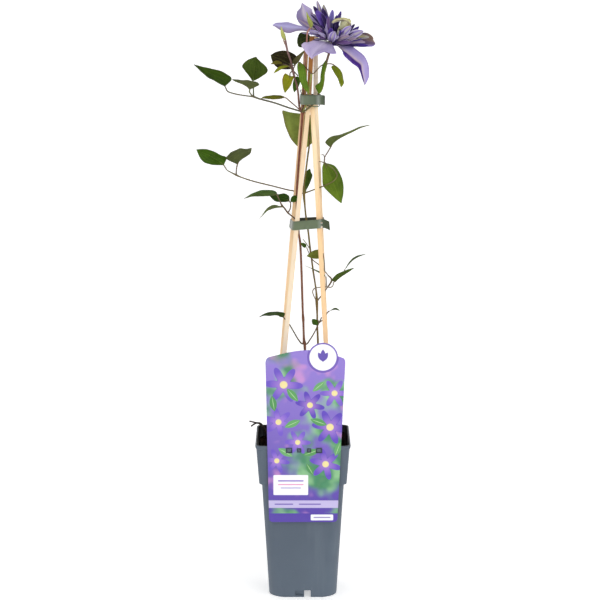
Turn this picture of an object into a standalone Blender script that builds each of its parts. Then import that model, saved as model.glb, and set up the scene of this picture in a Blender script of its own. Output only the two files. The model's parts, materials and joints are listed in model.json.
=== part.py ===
"""A potted clematis that climbs four pine sticks.

A square nursery pot holds the soil. Four square sticks lean together and are
held by two flat straps and a tie wire. Two thin stems climb between them, with
leaves on long stalks, two buds and one double bloom. A printed card hangs on
the front of the pot. Sizes here are in millimetres, and the model is in metres.
"""
import math
import random

import bmesh
import bpy
from mathutils import Quaternion, Vector, noise

MM = 0.001
WELD = 0.000005
GAP = 0.3

# The pot: half widths of its square sections, corner radii and heights.
POT_HEIGHT = 185.2
POT_WALL = 1.2
POT_FOOT_HALF = 39.5
POT_FOOT_CORNER = 17.0
POT_WAIST_HALF = 47.6
POT_WAIST_CORNER = 9.0
POT_COLLAR_HEIGHT = 138.0
POT_COLLAR_HALF = 50.7
POT_COLLAR_CORNER = 8.0
POT_RIM_HALF = 54.2
POT_LIP = 0.8
POT_LIP_HEIGHT = 3.6
POT_RIM_CORNER = 7.0
POT_LIP_EASE = 0.5
POT_FLOOR = 9.0
POT_SECTIONS = (20, 70)
DRAIN_WIDTH = 18.0
DRAIN_LOW = 2.3
DRAIN_HIGH = 8.4
RIB_LEFT = -10.5
RIB_RIGHT = 1.5
RIB_HALF_LENGTH = 30.0
LUG_HEIGHT = 180.4
LUG_OUT = 2.4
LUGS = {"outer_left": (-17.6, 3.4, 4.6), "inner_left": (-4.4, 2.2, 3.0),
        "inner_right": (7.0, 2.2, 3.0), "outer_right": (20.4, 3.4, 4.6)}

# The soil: its edge, the heap at the back and the size of its lumps.
SOIL_TOP = 172.0
SOIL_CLEARANCE = 0.2
SOIL_STEP_CLEARANCE = 0.6
SOIL_SHARES = (0.97, 0.86, 0.7, 0.5, 0.3, 0.1)
SOIL_HEAP_SPREAD = 24
SOIL_HEAP = 9.0
SOIL_HEAP_AT = (38.0, 34.0)
SOIL_LUMP = 1.7
DEAD_ROOTS = [
    [(-38, 30, 168), (-44, 38, 181), (-50, 43, 189), (-56, 46, 189.5), (-64, 46, 191.5)],
    [(-40, 32, 168), (-46, 41, 182), (-53, 47, 188.5), (-58, 48, 187.6), (-62, 48, 184.6)],
]
DEAD_ROOT_RADIUS = 0.9
STEM_CLEARANCE = 0.6
STEM_HOLE_DEPTH = 50

# The sticks: the middle of each at the points that it passes through.
STICK = 5.3
STICK_EDGE = 0.5
STICK_CLEARANCE = 0.45
STICKS = {
    "stick_front_left": [(-34.5, -31.5, 60), (-33, -30, 170), (6.6, -5.6, 575), (10.0, -5.4, 644)],
    "stick_back_left": [(-34.5, 31.5, 60), (-33.4, 30, 170), (0.6, 1.0, 575), (3.8, 1.0, 641)],
    "stick_front_right": [(32.0, -29.0, 16), (34, -30, 170), (10.3, 0, 575), (10.4, 0.2, 581)],
    "stick_back_right": [(33.5, 31.5, 60), (32.6, 30, 170), (15.0, 5.6, 575), (15.2, 5.2, 642)],
}

# The straps run round the sticks, seen from above, and end in a loose tail.
STRAP_THICKNESS = 0.8
STRAP_LOWER = {
    "heights": (430.6, 440.8), "spread": 0.5, "rise": 0.07,
    "run": [(30.5, -7.6), (27.4, -8.6), (23.8, -11.6), (19.6, -14.9), (5, -16.3), (-10.6, -17.6),
            (-11.4, -16.6), (-14.8, 13.4), (-14.2, 14.6), (5, 16.2), (24.0, 17.9), (24.8, 17.0),
            (24.6, 4), (24.3, -9.4)],
}
STRAP_UPPER = {
    "heights": (573.0, 584.0), "spread": 0.0, "rise": 0.0,
    "run": [(24.6, -8.6), (20.8, -11.0), (17.4, -12.4), (8, -12.5), (-1.4, -12.4), (-2.0, -11.6),
            (-2.7, -1.6), (-2.7, 4.6), (-1.8, 5.6), (5.5, 8.2), (12.6, 10.4), (18.6, 10.4),
            (19.6, 9.4), (19.9, 2), (19.0, -7.6), (16.9, -10.9)],
}
STRAP_HOLES = [(21.4, 438.2), (21.6, 433.4)]
STRAP_HOLE_RADIUS = 0.8
STRAP_HOLE_DEPTH = 12

TIE_RADIUS = 0.38
TIE_STEP = 3
TIE_RUN = [(10, -9.1, 571), (5, -9.1, 571.8), (0.6, -8.7, 576.5), (-1.1, -7.6, 583), (-2.6, -5, 587.4),
           (-3.0, -1, 588.6), (-2.6, 3.6, 588.8), (1, 5.4, 588), (6, 7.4, 585), (12, 9.1, 579.5),
           (16.2, 9.2, 575.6), (18.5, 8.5, 573.0), (19.0, 6.2, 571.4), (18.8, 2, 570.8), (18.2, -3, 570.6),
           (14.5, -7, 570.5)]

# The card that hangs on the front of the pot, measured on its own face.
CARD_THICKNESS = 0.6
CARD_BOTTOM = 94.4
CARD_SHOULDER = 284.0
CARD_BOTTOM_EDGES = (-39.1, 39.8)
CARD_TOP_EDGES = (-42.6, 48.1)
CARD_CORNER = 4.5
CARD_SHOULDER_RISE = 6.0
DISC_AT = (22.7, 290.0)
DISC_RADIUS = 17.0
CARD_FRONT_AT_RIM = -55.9
CARD_LEAN = math.radians(2.6)
SLOT_CLEARANCE = 0.5

STEM_STEP = 11.0
STEM_SIDES = 6
STALK_SIDES = 4
STALK_RADIUS = 1.25

# Stems, each a list of points with a radius, from its root or fork outwards.
STEM_A = {
    "main": [(3, 2, 152, 1.3), (3.2, 1, 230, 1.3), (2.4, 0, 288, 1.3), (1.7, 0, 294.8, 1.9),
             (1.1, 0, 301, 1.2), (0.6, 0, 318, 1.1), (0.3, 0, 324, 1.5), (-0.1, 0, 331, 1.1),
             (-0.6, 0, 346, 1.1), (-1.9, 0, 387, 1.1), (-3.1, 0, 412, 1.1), (-4.8, 0.2, 424, 1.1),
             (-6.6, 0.6, 446, 1.1), (-7.1, 1, 467, 1.1), (-5.5, 0.2, 497, 1.1), (-2.8, -1.4, 532, 1.0),
             (-1.6, -2.8, 548, 1.0), (-0.8, -4.2, 560, 1.1), (-0.5, -4.6, 564, 1.9)],
    "left_low": [(1.7, 0, 294.8, 1.0), (-1.2, 0, 294.3, 0.7), (-6.1, 2, 300.2, 0.6),
                 (-10.6, 3, 307.9, 0.6), (-16, 2, 317.3, 0.6), (-20.3, 0, 322.9, 0.6)],
    "right_low": [(1.7, 0, 294.8, 1.0), (4.5, -1.2, 294.2, 0.7), (8.6, -2.6, 300.3, 0.6),
                  (13.5, -3.2, 308.6, 0.6), (16.1, -3.4, 314.1, 0.6), (18.6, -3.2, 320, 0.8),
                  (22.3, -2.4, 322.3, 0.5), (25.6, -2.6, 327, 0.5), (28.4, -3, 331.6, 0.5),
                  (30.8, -4, 333.9, 0.5)],
    "right_low_short": [(18.6, -3.2, 320, 0.6), (18.0, -5.2, 322.4, 0.5), (16.8, -6.2, 324.4, 0.5)],
    "right_low_bud": [(18.6, -3.2, 320, 0.6), (20.2, -3.8, 323, 0.5), (21.6, -4.2, 326.4, 0.5)],
    "left_middle": [(-6.1, 0.4, 438, 0.8), (-9.2, -3.6, 441.6, 0.6), (-12.8, -9, 445.4, 0.6),
                    (-17.4, -14, 449.8, 0.8), (-21.3, -16.4, 455.5, 0.7), (-23.9, -17.6, 458.4, 0.8),
                    (-26.4, -18.4, 463.6, 0.5), (-29.4, -19.4, 470.6, 0.5)],
    "left_middle_stub": [(-23.9, -17.6, 458.4, 0.5), (-25.2, -18.8, 458.2, 0.5)],
    "left_middle_stalk": [(-17.4, -14, 449.8, 0.6), (-14.9, -12, 453.4, 0.5), (-14.2, -10.4, 457.6, 0.5),
                          (-14.6, -8.8, 461.0, 0.45)],
    "bud_left": [(-0.5, -4.6, 564, 1.2), (-3.9, -6.6, 569.6, 1.0), (-5.4, -8.8, 584.7, 0.9),
                 (-6.9, -9, 595, 0.9), (-9.2, -9, 602.4, 0.8), (-11.5, -9, 611.5, 1.3),
                 (-12.7, -9, 617.6, 0.8), (-14.1, -9, 623.3, 0.8), (-16.7, -9, 630.5, 0.8),
                 (-18.8, -9, 639, 1.0), (-20.6, -9, 645.2, 0.8)],
    "bud_top": [(-0.5, -4.6, 564, 1.2), (0.1, -5.2, 571, 0.8), (0.3, -5.2, 585, 0.75),
                (1.5, -5.2, 606, 0.75), (2.4, -6.4, 617.4, 0.75), (2.9, -12.4, 632.4, 0.75),
                (4.2, -18, 644.5, 0.75), (5.0, -23, 655, 0.75), (8.2, -24, 659.6, 0.9)],
    "stalk_leaf_pair": [(-0.5, -4.6, 564, 1.0), (0.8, -8.8, 567.2, 0.8), (3.2, -10.9, 571.6, 0.7),
                        (5.6, -10.7, 580, 0.7), (7.0, -10.6, 590, 0.7), (9.6, -10.2, 607.5, 1.2)],
    "petiole_pair_left": [(9.6, -10.2, 607.5, 0.7), (6.8, -9.2, 610.9, 0.5), (2.4, -8.4, 615.6, 0.5),
                          (-1.8, -8.4, 619.3, 0.5), (-3.8, -9.4, 620.9, 0.5), (-4.2, -10.8, 620.8, 0.5)],
    "petiole_pair_right": [(9.6, -10.2, 607.5, 0.7), (12.4, -10.2, 608.4, 0.5), (16.7, -9.8, 613, 0.5),
                           (20.7, -9.2, 617.1, 0.5), (23.6, -8.8, 618.0, 0.6), (27.8, -8.2, 619, 0.5),
                           (31.6, -8.4, 619, 0.5), (35.4, -9, 617.7, 0.5)],
    "petiole_pair_mid": [(23.6, -8.8, 618.0, 0.5), (25.2, -8.6, 620.8, 0.5), (26.2, -9.6, 622.8, 0.5),
                         (26.3, -11.0, 622.8, 0.5)],
    "flower_stalk": [(-0.5, -4.6, 564, 1.1), (0.8, -9.0, 565.2, 0.8), (3.4, -11.1, 566.8, 0.8),
                     (6.8, -11.3, 569.4, 0.8),
                     (10.2, -10.9, 571.8, 0.8), (14.2, -8.4, 577, 0.8), (16.6, -5.6, 581.6, 0.8),
                     (18.2, -3.6, 586.6, 0.9), (20.4, -1.4, 594, 0.9), (22.8, 0, 602.4, 1.0),
                     (27.1, 0, 621.7, 1.1), (29.8, 0, 631, 1.2), (31.8, 0, 638.6, 1.4)],
    "behind_bloom": [(29.7, 0, 630.6, 0.8), (22.6, 6.6, 633.6, 0.5), (15.6, 11, 637.6, 0.5),
                     (10.6, 12.6, 640.8, 0.5)],
    "left_long": [(-0.5, -4.6, 564, 1.0), (-4.3, -6.2, 565.6, 0.8), (-18.1, -7.4, 569.9, 0.8),
                  (-33.3, -8.6, 575.2, 0.8), (-48.4, -10, 579.2, 0.8), (-56, -11, 581.9, 1.0),
                  (-60.6, -11, 582.5, 0.6), (-74.2, -12, 584.6, 0.6), (-84.8, -13, 587.7, 0.6),
                  (-87.1, -13, 590.8, 0.6)],
    "left_long_low": [(-56, -11, 581.9, 0.8), (-59, -13, 584.6, 0.6), (-60.8, -14, 588.0, 0.6)],
    "left_long_high": [(-56, -11, 581.9, 0.8), (-56.3, -7.4, 585.6, 0.6), (-56.4, -5.6, 590.4, 0.6),
                       (-56.8, -5.4, 597.8, 0.6)],
    "left_short": [(-0.5, -4.6, 564, 0.8), (-6.4, -7.6, 569.4, 0.5), (-13.4, -8.6, 575.4, 0.5),
                   (-20.2, -9, 581.0, 0.5)],
    "fork_dark": [(-11.5, -9, 611.5, 0.8), (-14.2, -5, 614.4, 0.5), (-15.2, -1.4, 616.8, 0.5)],
    "fork_right": [(-11.5, -9, 611.5, 0.8), (-10.4, -6.6, 614.4, 0.5), (-8.9, -4.9, 617.3, 0.5)],
    "fork_narrow": [(-11.5, -9, 611.5, 0.8), (-13.4, -11.6, 614, 0.5), (-15.6, -13.4, 617.0, 0.5)],
    "fork_small": [(-13.4, -11.6, 614, 0.5), (-16.6, -10.4, 617, 0.5), (-22.4, -10.8, 618.8, 0.5)],
    "fork_hanging": [(-11.5, -9, 611.5, 0.8), (-13.6, -11, 609.7, 0.5), (-15.0, -12, 608.2, 0.5)],
    "fork_low": [(-11.5, -9, 611.5, 0.8), (-8.6, -7, 608.6, 0.5), (-5.6, -5.4, 605.2, 0.5)],
}
STEM_B = {
    "main": [(19, 5, 152, 1.2), (18.8, 5, 230, 1.2), (17.6, 5, 294.4, 1.1), (16.9, 4, 312.1, 1.0),
             (16.6, 4, 330, 1.0), (16.1, 3, 343.5, 1.6), (15.4, 2, 356.4, 0.9), (11.8, 1, 380.6, 0.9),
             (10, 1, 394.7, 0.9), (8.4, 0, 405.9, 0.9), (6.2, 0, 425.5, 0.9), (3.6, 0, 442.7, 0.9),
             (2.2, 0, 456.5, 0.9), (1.1, 0, 470.4, 1.5), (1.3, 0, 481.3, 0.85), (3.6, 1, 497.8, 0.85),
             (5.6, 2, 513.6, 0.85), (7.3, 3, 526.4, 0.8), (7.4, 4.6, 543, 0.8), (6, 8, 553, 0.8),
             (3, 13, 561, 0.7), (1.4, 14.4, 563.6, 0.5)],
    "tendril_low": [(16.1, 3, 343.9, 0.7), (14.3, -0.6, 347.6, 0.45), (12.5, -3.8, 351.8, 0.45),
                    (11.2, -5.8, 356.7, 0.45), (12.2, -6.4, 359.7, 0.45), (14.8, -6, 361.4, 0.45),
                    (19.6, -4.8, 361.7, 0.45), (27.2, -5.6, 362.4, 0.45), (32.4, -6, 361.9, 0.45),
                    (35, -6.4, 364.6, 0.45), (35.2, -6.6, 367.3, 0.5)],
    "tendril_up": [(27.2, -5.6, 362.4, 0.5), (27.1, -5.4, 368, 0.45), (26.7, -5.2, 374.6, 0.45)],
    "right_low": [(16.1, 3, 343.9, 0.9), (21, 2.4, 350.2, 0.6), (26.6, 0.6, 358.3, 0.6),
                  (33.4, -1.4, 369.4, 0.9), (29, -0.4, 375.4, 0.5), (24.9, 0, 380.4, 0.5),
                  (18.4, -1, 387.8, 0.45), (11.7, -2.2, 393.2, 0.45), (7.6, -2.6, 400.2, 0.45),
                  (4.2, -3, 408.2, 0.45)],
    "right_low_long": [(33.4, -1.4, 369.4, 0.6), (40, -1, 372.4, 0.45), (46.4, -1.6, 377.6, 0.45),
                       (48.4, -2.6, 382.4, 0.45)],
    "right_low_up": [(24.9, 0, 380.4, 0.5), (24.8, -3, 390, 0.45), (23.4, -5.2, 401.6, 0.45)],
    "wisp": [(8.5, 0, 405, 0.5), (6.2, -1.2, 409, 0.35), (2.6, -1.8, 414.4, 0.35), (0.1, -2, 417.6, 0.3)],
    "leaf_up": [(1.1, 0, 470.4, 0.7), (2.6, 2.2, 471.8, 0.5), (3.8, 3.6, 473.4, 0.5)],
    "right_high": [(1.1, 0, 470.4, 0.9), (6.6, 0.8, 472.4, 0.6), (12.2, 0.4, 474.6, 0.6),
                   (17.4, -2.0, 476.9, 0.6), (22.3, -4.8, 478.9, 0.6), (28.6, -7.4, 482, 0.6),
                   (34, -8.6, 485, 0.6), (37.9, -10, 489, 0.6), (38.9, -10.6, 492.9, 0.6),
                   (37.3, -10.6, 496.8, 0.6), (32.9, -9.6, 501.1, 0.6), (28.2, -8.4, 504.4, 0.6),
                   (24.4, -7, 506.4, 0.9)],
    "right_high_hanging": [(24.4, -7, 506.4, 0.6), (24.5, -4.4, 506.0, 0.6)],
    "right_high_up": [(24.4, -7, 506.4, 0.6), (25.0, -5, 512.8, 0.5), (28.4, -3.4, 518.4, 0.5),
                      (31.0, -2.6, 522.8, 0.6)],
    "curl_low": [(24.4, -7, 506.4, 0.5), (21.6, -5.6, 507.4, 0.4), (19.4, -1.4, 507.2, 0.4),
                 (19.0, 2.6, 506.8, 0.4)],
    "curl_high": [(24.9, -5.4, 511.8, 0.45), (23.6, -2, 515.2, 0.35), (21.6, 2, 514.8, 0.35)],
    "left_high": [(1.1, 0, 470.4, 0.9), (-1.8, 6, 470.4, 0.6), (-5, 13.6, 470.8, 0.6),
                  (-10.6, 16.2, 471.6, 0.6), (-19, 14.4, 473.4, 0.6), (-33.8, 11, 477.6, 0.6),
                  (-55.3, 7, 483.3, 0.6), (-70.6, 4, 488.5, 0.6), (-76.8, 3, 491.4, 0.9),
                  (-82.8, 2, 494.6, 0.5), (-87.4, 1, 497.4, 0.5), (-90.6, 0.2, 502.6, 0.6)],
    "left_high_up": [(-76.8, 3, 491.4, 0.6), (-76.7, 4, 497, 0.5), (-75.4, 4.4, 503.6, 0.6)],
}

BUDS = {
    "bud_left": [(-20.75, -9, 645.6, 1.1), (-21.8, -9, 649.2, 2.3), (-23.2, -9, 653.4, 2.1),
                 (-24.2, -9, 657.6, 1.2), (-24.7, -9, 661, 0.4)],
    "bud_top": [(8.5, -24.05, 660.1, 1.2), (8.9, -24.2, 663.4, 2.6), (7.4, -24.2, 667.6, 2.6),
                (5.4, -24.2, 672.6, 1.4), (3.9, -24.2, 677.4, 0.4)],
}

# Outlines: where a blade is widest and how it narrows, as the powers of a beta curve.
BROAD = (0.12, 0.85)
OVATE = (0.55, 1.0)
RHOMBIC = (0.95, 0.95)
HEART = (0.38, 0.95)
LANCE = (0.7, 0.9)
DRAWN = (0.6, 2.4)

# Leaves: end of the stalk, tip, width, way the upper face looks, fold, arch, backward lobe, outline.
LEAVES = {
    "leaf_01": ((-87.1, -13, 590.8), (-123.4, -18, 618.8), 25, (0.48, -0.62, 0.65), 104, 0.8, 1.0, HEART),
    "leaf_02": ((-60.8, -14, 588), (-81.4, -20, 602.6), 24, (0.46, 0.62, 0.61), 100, 0.5, 1.3, HEART),
    "leaf_03": ((-56.8, -5.4, 597.8), (-53, -1, 626.3), 30, (0.05, -1, 0.1), 16, 1.5, 0.0, RHOMBIC),
    "leaf_04": ((-20.2, -9, 581), (-49.4, -14, 578.4), 9, (0.0, -0.3, 1), 40, 1.6, 0.1, LANCE),
    "leaf_05": ((-90.6, 0.2, 502.6), (-122.2, -6, 521.2), 21, (0.3, -0.8, 0.55), 50, 2.0, 0.3, LANCE),
    "leaf_06": ((-75.4, 4.4, 503.6), (-58.6, 8, 521.8), 31, (-0.56, 0.64, 0.5), 86, 0.5, 1.0, HEART),
    "leaf_07": ((31, -2.6, 522.8), (79.0, -12, 550.6), 19, (-0.38, -0.64, 0.73), 100, 5.0, 1.2, DRAWN),
    "leaf_08": ((24.5, -4.4, 506), (44.2, -3, 460.8), 23, (0.2, -0.97, 0.0), 24, -3.2, 0.3, OVATE),
    "leaf_09": ((-29.4, -19.4, 470.6), (-67.3, -26, 466.9), 11.5, (0.1, -0.62, 0.76), 84, 4.4, 0.5, OVATE),
    "leaf_10": ((-14.6, -8.8, 461), (-41.2, -9, 469.8), 11, (0.05, -0.95, 0.3), 20, 0.8, 0.3, HEART),
    "leaf_11": ((-14.6, -8.8, 461), (-4.4, -3.4, 467.8), 7.5, (-0.5, -0.85, 0.3), 26, 0.4, 0.2, RHOMBIC),
    "leaf_12": ((-25.2, -18.8, 458.2), (-50.8, -27, 442.5), 6.5, (-0.25, -0.62, 0.75), 60, 4.4, 0.2, DRAWN),
    "leaf_13": ((4.2, -3, 408.2), (-2.6, -4.6, 413.8), 5, (-0.2, -0.9, 0.5), 20, 0.3, 0.0, OVATE),
    "leaf_14": ((23.4, -5.2, 401.6), (4.2, -5.6, 398.4), 11, (0, -1, 0.25), 24, 0.6, 0.3, OVATE),
    "leaf_15": ((26.7, -5.2, 374.6), (1.6, -3.6, 387.4), 3.6, (0.2, -0.5, 0.85), 30, 0.8, 0.0, DRAWN),
    "leaf_16": ((35.2, -6.6, 367.3), (60, -12, 386.4), 7, (-0.4, -0.6, 0.7), 70, 1.8, 0.4, OVATE),
    "leaf_17": ((48.4, -2.6, 382.4), (73.6, -8, 401.4), 6, (-0.5, -0.2, 0.85), 60, 3.4, 0.4, LANCE),
    "leaf_18": ((30.8, -4, 333.9), (43.2, -9, 334.8), 5, (0.0, -0.35, 0.95), 50, 2.0, 0.0, LANCE),
    "leaf_19": ((16.8, -6.2, 324.4), (11.4, -8.6, 318.8), 9, (-0.1, -1, 0.2), 16, 0.3, 0.1, RHOMBIC),
    "leaf_20": ((-20.3, 0, 322.9), (-52.2, -5, 327.0), 11, (0.05, -0.6, 0.78), 90, 4.6, 0.3, OVATE),
    "leaf_21": ((3.8, 3.6, 473.4), (8.8, 6.8, 497.4), 8.5, (0.4, -0.9, 0.1), 24, -0.6, 0.0, OVATE),
    "leaf_22": ((0.6, 15, 564.8), (-1, 18, 515.6), 51, (-0.31, 0.95, 0.0), 36, 0.0, 0.2, BROAD),
    "leaf_23": ((-4.2, -10.8, 620.8), (6.2, -16, 586.6), 14, (-0.1, -1, 0.2), 24, 1.6, 0.4, OVATE),
    "leaf_24": ((26.3, -11.0, 622.8), (18.8, -15.5, 585.8), 10, (-0.5, -0.85, 0.1), 56, 1.6, 0.2, LANCE),
    "leaf_25": ((35.4, -9, 617.7), (44.4, -14, 592.6), 11, (0.6, -0.7, 0.3), 40, 3.4, 0.4, OVATE),
    "leaf_26": ((-15.2, -1.4, 616.8), (-37.2, 8, 629.6), 22, (0.1, 1, 0.1), 20, 1.0, 0.5, HEART),
    "leaf_27": ((-8.9, -4.9, 617.3), (0.9, -3.4, 633.4), 11, (-0.7, -0.6, 0.5), 60, 0.6, 0.3, OVATE),
    "leaf_28": ((-15.6, -13.4, 617), (-33.4, -20, 608.8), 6, (-0.2, -0.7, 0.7), 50, 2.0, 0.0, LANCE),
    "leaf_29": ((-22.4, -10.8, 618.8), (-37.6, -15, 618.8), 7, (0, -0.6, 0.8), 40, 1.6, 0.2, OVATE),
    "leaf_30": ((-15, -12, 608.2), (-20.6, -17, 586.8), 13, (-0.1, -1, 0.1), 18, 1.6, 0.4, HEART),
    "leaf_31": ((-5.6, -5.4, 605.2), (-10.2, -2.4, 586.2), 9, (-0.3, -0.9, 0.2), 24, -0.8, 0.3, OVATE),
    "leaf_32": ((10.6, 12.6, 640.8), (-6, 14, 651.2), 18, (0.1, -1, 0.3), 20, 1.0, 0.5, OVATE),
}
BLADE = 0.8
BLADE_NECK = 1.5
BLADE_WAVE = 0.05
BLADE_ROW_POWER = 1.25
LEAF_ROWS = 6
LEAF_STRIPS = 2
LEAF_OFF_STALK = 0.75

# The bloom: its middle, the lean of its axis, its wide sepals and the rings of narrow petals.
BLOOM_AT = (31.8, 0.0, 648.0)
BLOOM_CORE = 7.0
BLOOM_CORE_RISE = 3.0
RECEPTACLE = [(31.8, 0, 639.6, 1.8), (32.2, 0, 642.6, 3.4), (32.6, 0, 646.5, 5.0), (33.2, 0, 650, 5.0)]
SEPALS = [
    ((30.6, -3, 645), (9.6, -47, 626.4), 38, (0.12, -0.45, 0.88), 10, 6.0, 0.0, RHOMBIC),
    ((34, -2, 645), (69.6, -26, 596), 40, (0.66, -0.5, 0.56), 44, 12.0, 0.0, LANCE),
    ((29.6, 0, 648), (-35, -2, 661), 15, (0.12, -0.8, 0.55), 24, 2.0, 0.0, LANCE),
    ((30, 3, 649), (-1.6, 27, 686), 38, (0.5, -0.75, 0.5), 24, -4.0, 0.0, LANCE),
    ((35, 1, 646), (82.4, 8, 637.6), 17, (0.1, -0.1, 1), 30, 5.0, 0.0, LANCE),
    ((33.6, 3, 646), (60, 44, 640), 24, (0, 0.1, 1), 20, 4.0, 0.0, LANCE),
    ((31, 3.4, 647), (10, 48, 650), 24, (0, -0.2, 1), 20, 4.0, 0.0, LANCE),
    ((34.4, -3, 646), (72, -30, 641), 20, (0.2, -0.3, 1), 24, 4.0, 0.0, LANCE),
]
SEPAL_ROWS = 7
PETAL_SEED = 11
PETAL_RINGS = [(9, 16, 13.0, 0.02), (9, 33, 12.5, -0.08), (8, 51, 12.0, -0.18),
               (6, 68, 11.0, -0.26), (3, 82, 10.0, -0.3)]
PETAL_REACH = 44.0
PETAL_HIGH_CUT = 15.0
PETAL_ROLL = 42
PETAL_ROWS = 4
PETAL_ROOT = 2.0
PETAL_RING_RISE = 0.8
PETAL_BUD_SIDE = math.radians(226)
PETAL_BUD_SPREAD = 0.5
PETAL_BUD_REACH = 24.0


def vec(point):
    """A point or direction given in millimetres, as a vector in metres."""
    return Vector(point[:3]) * MM


def part_collection(name):
    """A collection in the scene, made when it is missing."""
    found = bpy.data.collections.get(name)
    if found is None:
        found = bpy.data.collections.new(name)
        bpy.context.scene.collection.children.link(found)
    return found


def material(name, colour, roughness, metallic=0.0):
    """A Principled material with one colour."""
    mat = bpy.data.materials.new(name)
    mat.use_nodes = True
    shader = mat.node_tree.nodes["Principled BSDF"]
    shader.inputs["Base Color"].default_value = (*colour, 1.0)
    shader.inputs["Roughness"].default_value = roughness
    shader.inputs["Metallic"].default_value = metallic
    return mat


def add_mesh(name, mesh):
    """An object for a mesh, in the part's collection."""
    obj = bpy.data.objects.new(name, mesh)
    part_collection("potted_clematis").objects.link(obj)
    return obj


def mesh_object(name, points, faces):
    """An object from points in metres and faces, with its normals pointing out."""
    mesh = bpy.data.meshes.new(name)
    mesh.from_pydata([tuple(p) for p in points], [], faces)
    return tidy_object(add_mesh(name, mesh))


def tidy_object(obj):
    """Merge doubles in an object's mesh, drop points that only split an edge, and face it outwards."""
    sheet = bmesh.new()
    sheet.from_mesh(obj.data)
    bmesh.ops.remove_doubles(sheet, verts=sheet.verts, dist=WELD)
    spare = [vert for vert in sheet.verts if len(vert.link_edges) == 2]
    bmesh.ops.dissolve_verts(sheet, verts=spare)
    bmesh.ops.recalc_face_normals(sheet, faces=sheet.faces)
    sheet.to_mesh(obj.data)
    sheet.free()
    return obj


def as_mesh(obj):
    """The object with its modifiers applied, or its curve turned into a mesh, and tidied."""
    depsgraph = bpy.context.evaluated_depsgraph_get()
    mesh = bpy.data.meshes.new_from_object(obj.evaluated_get(depsgraph))
    name, place = obj.name, obj.matrix_world.copy()
    bpy.data.objects.remove(obj)
    made = add_mesh(name, mesh)
    made.name = name
    made.matrix_world = place
    return tidy_object(made)


def drop_scraps(obj):
    """Keep only the largest connected body of an object's mesh."""
    sheet = bmesh.new()
    sheet.from_mesh(obj.data)
    waiting = set(sheet.faces)
    bodies = []
    while waiting:
        reached = [waiting.pop()]
        for face in reached:
            near = {other for edge in face.edges for other in edge.link_faces} & waiting
            waiting -= near
            reached.extend(near)
        bodies.append(reached)
    bodies.sort(key=len)
    loose = [face for body in bodies[:-1] for face in body]
    bmesh.ops.delete(sheet, geom=loose, context="FACES")
    sheet.to_mesh(obj.data)
    sheet.free()
    return obj


def combine(target, tools, operation):
    """Join the tools to the target, or cut them from it, in one applied Boolean."""
    group = part_collection("tools")
    for tool in tools:
        part_collection("potted_clematis").objects.unlink(tool)
        group.objects.link(tool)
    modifier = target.modifiers.new(operation.lower(), "BOOLEAN")
    modifier.operation = operation
    modifier.operand_type = "COLLECTION"
    modifier.collection = group
    made = as_mesh(target)
    for tool in list(group.objects):
        bpy.data.objects.remove(tool)
    return drop_scraps(made)


def smooth_run(points, step, closed=False):
    """Points along a Catmull-Rom curve, with every further value (a radius) blended too."""
    run = []
    count = len(points)
    spans = count if closed else count - 1
    for i in range(spans):
        if closed:
            quad = [points[(i + k) % count] for k in (-1, 0, 1, 2)]
        else:
            quad = [points[max(0, min(count - 1, i + k))] for k in (-1, 0, 1, 2)]
        a, b, c, d = quad
        pieces = max(1, round(math.dist(b[:3], c[:3]) / step))
        for k in range(pieces):
            t = k / pieces
            run.append(tuple(
                0.5 * (2 * q + (r - p) * t + (2 * p - 5 * q + 4 * r - s) * t * t
                       + (3 * q - p - 3 * r + s) * t ** 3)
                for p, q, r, s in zip(a, b, c, d)))
    if not closed:
        run.append(points[-1])
    return run


def tube(name, run, sides=6, closed=False):
    """A round tube along points that carry their radius, as a welded mesh."""
    curve = bpy.data.curves.new(name, "CURVE")
    curve.dimensions = "3D"
    curve.bevel_depth = MM
    curve.bevel_resolution = (sides - 4) // 2
    curve.use_fill_caps = True
    spline = curve.splines.new("POLY")
    spline.points.add(len(run) - 1)
    spline.use_cyclic_u = closed
    for knot, place in zip(spline.points, run):
        knot.co = (*vec(place), 1.0)
        knot.radius = place[3]
    obj = bpy.data.objects.new(name, curve)
    part_collection("potted_clematis").objects.link(obj)
    return as_mesh(obj)


def square_ring(half, corner, height):
    """One section of the pot: a square with round corners, as a ring of 32 points."""
    ring = []
    for quarter in range(4):
        turn = quarter * math.pi / 2
        local = []
        for k in range(5):
            angle = k * math.pi / 8
            local.append((half - corner + corner * math.cos(angle), half - corner + corner * math.sin(angle)))
        for k in (1, 2, 3):
            local.append(((half - corner) * (1 - k / 2), half))
        for x, y in local:
            ring.append(vec((x * math.cos(turn) - y * math.sin(turn),
                             x * math.sin(turn) + y * math.cos(turn), height)))
    return ring


def skin(name, rings):
    """A closed solid through rings with the same number of points."""
    count = len(rings[0])
    points = [p for ring in rings for p in ring]
    faces = []
    for i in range(len(rings) - 1):
        for k in range(count):
            a, b = i * count + k, i * count + (k + 1) % count
            faces.append((a, b, b + count, a + count))
    faces.append(tuple(reversed(range(count))))
    faces.append(tuple(range(len(points) - count, len(points))))
    return mesh_object(name, points, faces)


def box(name, low, high):
    """A box between two corners in millimetres."""
    sheet = bmesh.new()
    bmesh.ops.create_cube(sheet, size=1.0)
    for vert in sheet.verts:
        vert.co = Vector((low[i] + (vert.co[i] + 0.5) * (high[i] - low[i]) for i in range(3))) * MM
    mesh = bpy.data.meshes.new(name)
    sheet.to_mesh(mesh)
    sheet.free()
    return add_mesh(name, mesh)


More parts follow.
